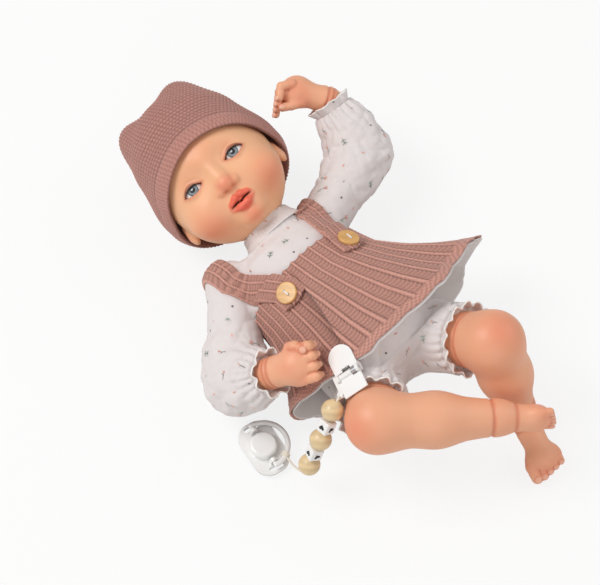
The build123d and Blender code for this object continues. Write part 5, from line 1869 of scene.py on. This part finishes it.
# ---- Printed flowers -------------------------------------------------------------------------
@dataclass
class Print:
    """Small flowers scattered over the jersey with Geometry Nodes, then laid onto it.

    Args:
        apart: least distance between two flowers, in millimetres.
        seed: fixes where they are.
    """

    apart: float = 13.0
    seed: int = 4

    @staticmethod
    def petal(centre: Sequence[float], long: float, wide: float, turn: float) -> Net:
        """A flat leaf shape lying in the XY plane."""
        larger, thick = 1.3, 0.05
        t = full_turn(12)
        x, y = long / 2 * np.cos(t), wide / 2 * np.sin(t) * (1 - 0.35 * np.cos(t))
        cos, sin = math.cos(turn), math.sin(turn)
        ring = np.stack([x * cos - y * sin, x * sin + y * cos, 0 * t], -1)
        ring = larger * (ring + np.array([centre[0], centre[1], 0]))
        return lattice(np.array([ring, ring + vec(0, 0, thick)]))

    def motifs(self) -> Dict[str, Dict[str, List[Net]]]:
        """The printed shapes, ink by ink: a tulip, a bud, a leaf pair, a berry and a dash."""
        up = math.pi / 2
        return {
            "stem": {
                "tulip": [self.petal((0, -0.6), 5.2, 0.42, up)],
                "bud": [self.petal((0, -0.8), 3.8, 0.4, up), self.petal((-0.7, 0.3), 1.8, 0.36, up + 0.9)],
                "leaves": [self.petal((0, 0), 4.6, 0.42, up)],
                "berry": [self.petal((0, 0), 1.3, 1.2, 0)],
                "dash": [],
            },
            "coral": {
                "tulip": [self.petal((s * 0.5, 2.6), 2.4, 1.1, up - s * 0.35) for s in (-1, 1)],
                "bud": [self.petal((0, 1.7), 1.5, 1.2, up)],
                "leaves": [],
                "berry": [],
                "dash": [self.petal((0, 0), 2.2, 0.9, 0.5)],
            },
            "leaf": {
                "tulip": [self.petal((0.9, -1.2), 2.4, 0.7, up - 0.7)],
                "bud": [],
                "leaves": [
                    self.petal((s * 0.9, h), 1.9, 0.7, up - s * 0.9) for s in (-1, 1) for h in (-0.6, 1.2)
                ],
                "berry": [],
                "dash": [],
            },
        }

    @staticmethod
    def palette(ink: str, shapes: Dict[str, List[Net]]) -> bpy.types.Collection:
        """One ink's share of every motif.

        Args:
            ink: key of FINISHES.
            shapes: meshes by motif; a motif without this ink becomes an empty mesh, so all inks pick alike.
        Returns:
            A collection with one object for each motif.
        """
        collection = bpy.data.collections.new(f"motifs_{ink}")
        for kind, nets in shapes.items():
            name = f"motif_{kind}_{ink}"
            if nets:
                piece = make_piece(name, merged(nets), SHOP.get(ink))
                bpy.context.scene.collection.objects.unlink(piece)
            else:
                piece = bpy.data.objects.new(name, bpy.data.meshes.new(name))
            collection.objects.link(piece)
        return collection

    @staticmethod
    def scatter(kinds: int) -> bpy.types.NodeTree:
        """The Geometry Nodes tree that strews motifs over a surface.

        Args:
            kinds: how many motifs there are to pick from.
        Returns:
            The tree, with the inputs Cloth, Motifs, Ink, Apart and Seed.
        """
        tree = bpy.data.node_groups.new("strewn_print", "GeometryNodeTree")
        sockets = {
            "Cloth": "Geometry", "Motifs": "Collection", "Ink": "Material", "Apart": "Float", "Seed": "Int",
        }
        for name, kind in sockets.items():
            tree.interface.new_socket(name, in_out="INPUT", socket_type=f"NodeSocket{kind}")
        tree.interface.new_socket("Print", in_out="OUTPUT", socket_type="NodeSocketGeometry")
        put, link = Workshop.add, tree.links.new
        start, end = put(tree, "NodeGroupInput"), put(tree, "NodeGroupOutput")
        strew = put(tree, "GeometryNodeDistributePointsOnFaces", distribute_method="POISSON")
        strew.inputs["Density Max"].default_value = 40000.0
        info = put(tree, "GeometryNodeCollectionInfo")
        info.inputs["Separate Children"].default_value = True
        pick = put(tree, "FunctionNodeRandomValue", data_type="INT")
        pick.inputs[4].default_value, pick.inputs[5].default_value = 0, kinds - 1
        spin = put(tree, "FunctionNodeRandomValue", data_type="FLOAT")
        spin.inputs[2].default_value, spin.inputs[3].default_value = -math.pi, math.pi
        turn = put(tree, "FunctionNodeRotateRotation", rotation_space="LOCAL")
        about = put(tree, "FunctionNodeAxisAngleToRotation")
        about.inputs["Axis"].default_value = (0, 0, 1)
        place = put(tree, "GeometryNodeInstanceOnPoints")
        place.inputs["Pick Instance"].default_value = True
        real = put(tree, "GeometryNodeRealizeInstances")
        dye = put(tree, "GeometryNodeSetMaterial")
        for out, into in (
            (start.outputs["Cloth"], strew.inputs["Mesh"]),
            (start.outputs["Apart"], strew.inputs["Distance Min"]),
            (start.outputs["Seed"], strew.inputs["Seed"]),
            (start.outputs["Seed"], pick.inputs["Seed"]),
            (start.outputs["Seed"], spin.inputs["Seed"]),
            (start.outputs["Motifs"], info.inputs["Collection"]),
            (spin.outputs[1], about.inputs["Angle"]),
            (strew.outputs["Rotation"], turn.inputs["Rotation"]),
            (about.outputs["Rotation"], turn.inputs["Rotate By"]),
            (strew.outputs["Points"], place.inputs["Points"]),
            (info.outputs["Instances"], place.inputs["Instance"]),
            (pick.outputs[2], place.inputs["Instance Index"]),
            (turn.outputs["Rotation"], place.inputs["Rotation"]),
            (place.outputs["Instances"], real.inputs["Geometry"]),
            (real.outputs["Geometry"], dye.inputs["Geometry"]),
            (start.outputs["Ink"], dye.inputs["Material"]),
            (dye.outputs["Geometry"], end.inputs["Print"]),
        ):
            link(out, into)
        return tree

    def lay(
        self, cloth: bpy.types.Object, tree: bpy.types.NodeTree, ink: str, motifs: bpy.types.Collection
    ) -> None:
        """Strews one ink of the print over one piece of cloth and lays it onto the cloth.

        Args:
            cloth: the piece.
            tree: the node tree from scatter.
            ink: key of FINISHES.
            motifs: that ink's share of every motif.
        """
        name = f"{cloth.name}_print_{ink}"
        holder = bpy.data.objects.new(name, cloth.data.copy())
        bpy.context.scene.collection.objects.link(holder)
        modifier = holder.modifiers.new("strew", "NODES")
        modifier.node_group = tree
        sockets = {item.name: item.identifier for item in tree.interface.items_tree if item.in_out == "INPUT"}
        modifier[sockets["Motifs"]] = motifs
        modifier[sockets["Ink"]] = SHOP.get(ink)
        modifier[sockets["Apart"]] = self.apart * MM
        modifier[sockets["Seed"]] = self.seed + len(cloth.name)
        graph = bpy.context.evaluated_depsgraph_get()
        mesh = bpy.data.meshes.new_from_object(holder.evaluated_get(graph), depsgraph=graph)
        holder.modifiers.clear()
        holder.data = mesh
        self.press_down(mesh, cloth)
        LOG.info("%s: %d faces", name, len(mesh.polygons))
        settle(holder, cloth["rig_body"], "printed_jersey")

    @staticmethod
    def press_down(mesh: bpy.types.Mesh, cloth: bpy.types.Object) -> None:
        """Moves each printed point onto the cloth, a hair above it."""
        count = len(cloth.data.vertices)
        at = np.zeros(count * 3, np.float32)
        cloth.data.vertices.foreach_get("co", at)
        faces = [p.vertices[:] for p in cloth.data.polygons]
        tree = BVHTree.FromPolygons([tuple(c) for c in at.reshape(-1, 3)], faces)
        above = 0.12 * MM
        for vertex in mesh.vertices:
            spot, normal, _index, _far = tree.find_nearest(vertex.co)
            if spot is not None:
                vertex.co = spot + normal * above

    def build(self, cloths: Sequence[bpy.types.Object]) -> None:
        """Prints every piece of jersey, one ink after another."""
        shapes = self.motifs()
        tree = self.scatter(len(shapes["stem"]))
        for ink, kinds in shapes.items():
            motifs = self.palette(ink, kinds)
            for cloth in cloths:
                self.lay(cloth, tree, ink, motifs)
            for piece in list(motifs.objects):
                bpy.data.objects.remove(piece)
            bpy.data.collections.remove(motifs)


# ---- Studio ----------------------------------------------------------------------------------
@dataclass
class Studio:
    """Pale floor, soft light and the camera.

    Args:
        azimuth: the camera's place round the doll, in degrees.
        elevation: its height over the horizon, in degrees.
        distance: how far it is, in metres.
        lens: focal length in millimetres.
        shift: how far the picture is moved, in widths of the frame.
        target: the height that the camera looks at, in metres.
        floor_glow: share of the floor's own white that the camera sees.
        room: strength of the surroundings' light.
    """

    azimuth: float = -45.0
    elevation: float = 62.0
    distance: float = 1.150
    lens: float = 98.6
    shift: Tuple[float, float] = (-0.055, 0.0242)
    target: float = 0.040
    floor_glow: float = 0.82
    room: float = 0.42

    def floor(self) -> None:
        """A floor that is white to the camera and soft grey to light."""
        mesh = bpy.data.meshes.new("floor")
        far = 3.0
        mesh.from_pydata([(-far, -far, 0), (far, -far, 0), (far, far, 0), (-far, far, 0)], [], [(0, 1, 2, 3)])
        material = bpy.data.materials.new("white_paper")
        material.use_nodes = True
        tree = material.node_tree
        tree.nodes.clear()
        out = Workshop.add(tree, "ShaderNodeOutputMaterial")
        matt = Workshop.add(tree, "ShaderNodeBsdfDiffuse", Color=(0.86, 0.85, 0.84, 1))
        glow = Workshop.add(tree, "ShaderNodeEmission", Color=(1, 1, 1, 1), Strength=1.0)
        path = Workshop.add(tree, "ShaderNodeLightPath")
        share = Workshop.add(tree, "ShaderNodeMath", operation="MULTIPLY")
        share.inputs[1].default_value = self.floor_glow
        mix = Workshop.add(tree, "ShaderNodeMixShader")
        tree.links.new(path.outputs["Is Camera Ray"], share.inputs[0])
        tree.links.new(share.outputs[0], mix.inputs[0])
        tree.links.new(matt.outputs[0], mix.inputs[1])
        tree.links.new(glow.outputs[0], mix.inputs[2])
        tree.links.new(mix.outputs[0], out.inputs["Surface"])
        mesh.materials.append(material)
        piece = bpy.data.objects.new("floor", mesh)
        piece.location.z = -0.0004
        bpy.context.scene.collection.objects.link(piece)

    def light(self, name: str, spot: Tuple[float, float, float], size: float, power: float) -> None:
        """A square soft box that faces the doll."""
        lamp = bpy.data.lights.new(name, "AREA")
        lamp.size, lamp.energy = size, power
        piece = bpy.data.objects.new(name, lamp)
        piece.location = spot
        piece.rotation_mode = "QUATERNION"
        piece.rotation_quaternion = (Vector((0, -0.02, 0.05)) - Vector(spot)).to_track_quat("-Z", "Y")
        bpy.context.scene.collection.objects.link(piece)

    def camera(self) -> None:
        """The camera that looks down on the doll."""
        data = bpy.data.cameras.new("camera")
        data.lens, data.sensor_width = self.lens, 36.0
        data.shift_x, data.shift_y = self.shift
        a, e = math.radians(self.azimuth), math.radians(self.elevation)
        back = Vector((math.sin(a) * math.cos(e), -math.cos(a) * math.cos(e), math.sin(e)))
        piece = bpy.data.objects.new("camera", data)
        piece.location = Vector((0, 0, self.target)) + back * self.distance
        piece.rotation_mode = "QUATERNION"
        piece.rotation_quaternion = (-back).to_track_quat("-Z", "Y")
        bpy.context.scene.collection.objects.link(piece)
        bpy.context.scene.camera = piece

    def build(self) -> None:
        """Adds floor, lights, surroundings and camera."""
        scene = bpy.context.scene
        scene.view_settings.view_transform = "Standard"
        world = bpy.data.worlds.new("room")
        world.use_nodes = True
        back = world.node_tree.nodes["Background"]
        back.inputs["Color"].default_value = (1, 1, 1, 1)
        back.inputs["Strength"].default_value = self.room
        glow = Workshop.add(world.node_tree, "ShaderNodeBackground", Color=(1, 1, 1, 1), Strength=1.0)
        path = Workshop.add(world.node_tree, "ShaderNodeLightPath")
        mix = Workshop.add(world.node_tree, "ShaderNodeMixShader")
        link = world.node_tree.links.new
        link(path.outputs["Is Camera Ray"], mix.inputs[0])
        link(back.outputs[0], mix.inputs[1])
        link(glow.outputs[0], mix.inputs[2])
        link(mix.outputs[0], world.node_tree.nodes["World Output"].inputs["Surface"])
        scene.world = world
        self.floor()
        self.light("key", (-0.55, 0.65, 1.25), 0.7, 11.5)
        self.light("fill", (0.9, -0.5, 0.9), 1.0, 3.6)
        self.light("front", (-0.7, -0.9, 0.8), 1.0, 3.0)
        self.camera()


def main() -> None:
    """Builds the doll in order and sets up the studio."""
    logging.basicConfig(level=logging.INFO, format="%(message)s")
    LOG.info("hardware")
    Hardware().build()
    LOG.info("head")
    Head().build()
    LOG.info("hat")
    Hat().build()
    LOG.info("limbs")
    right_arm().build("right_arm", 0.7)
    left_arm().build("left_arm", 0.7)
    for s in SIDES:
        leg(s).build(f"{SIDES[s]}_leg", 0.85)
    LOG.info("romper")
    romper = Romper()
    romper.build()
    Print().build(romper.pieces)
    LOG.info("pinafore")
    Pinafore().build()
    LOG.info("chain")
    Chain().build()
    LOG.info("studio")
    Studio().build()


if __name__ == "__main__":
    main()
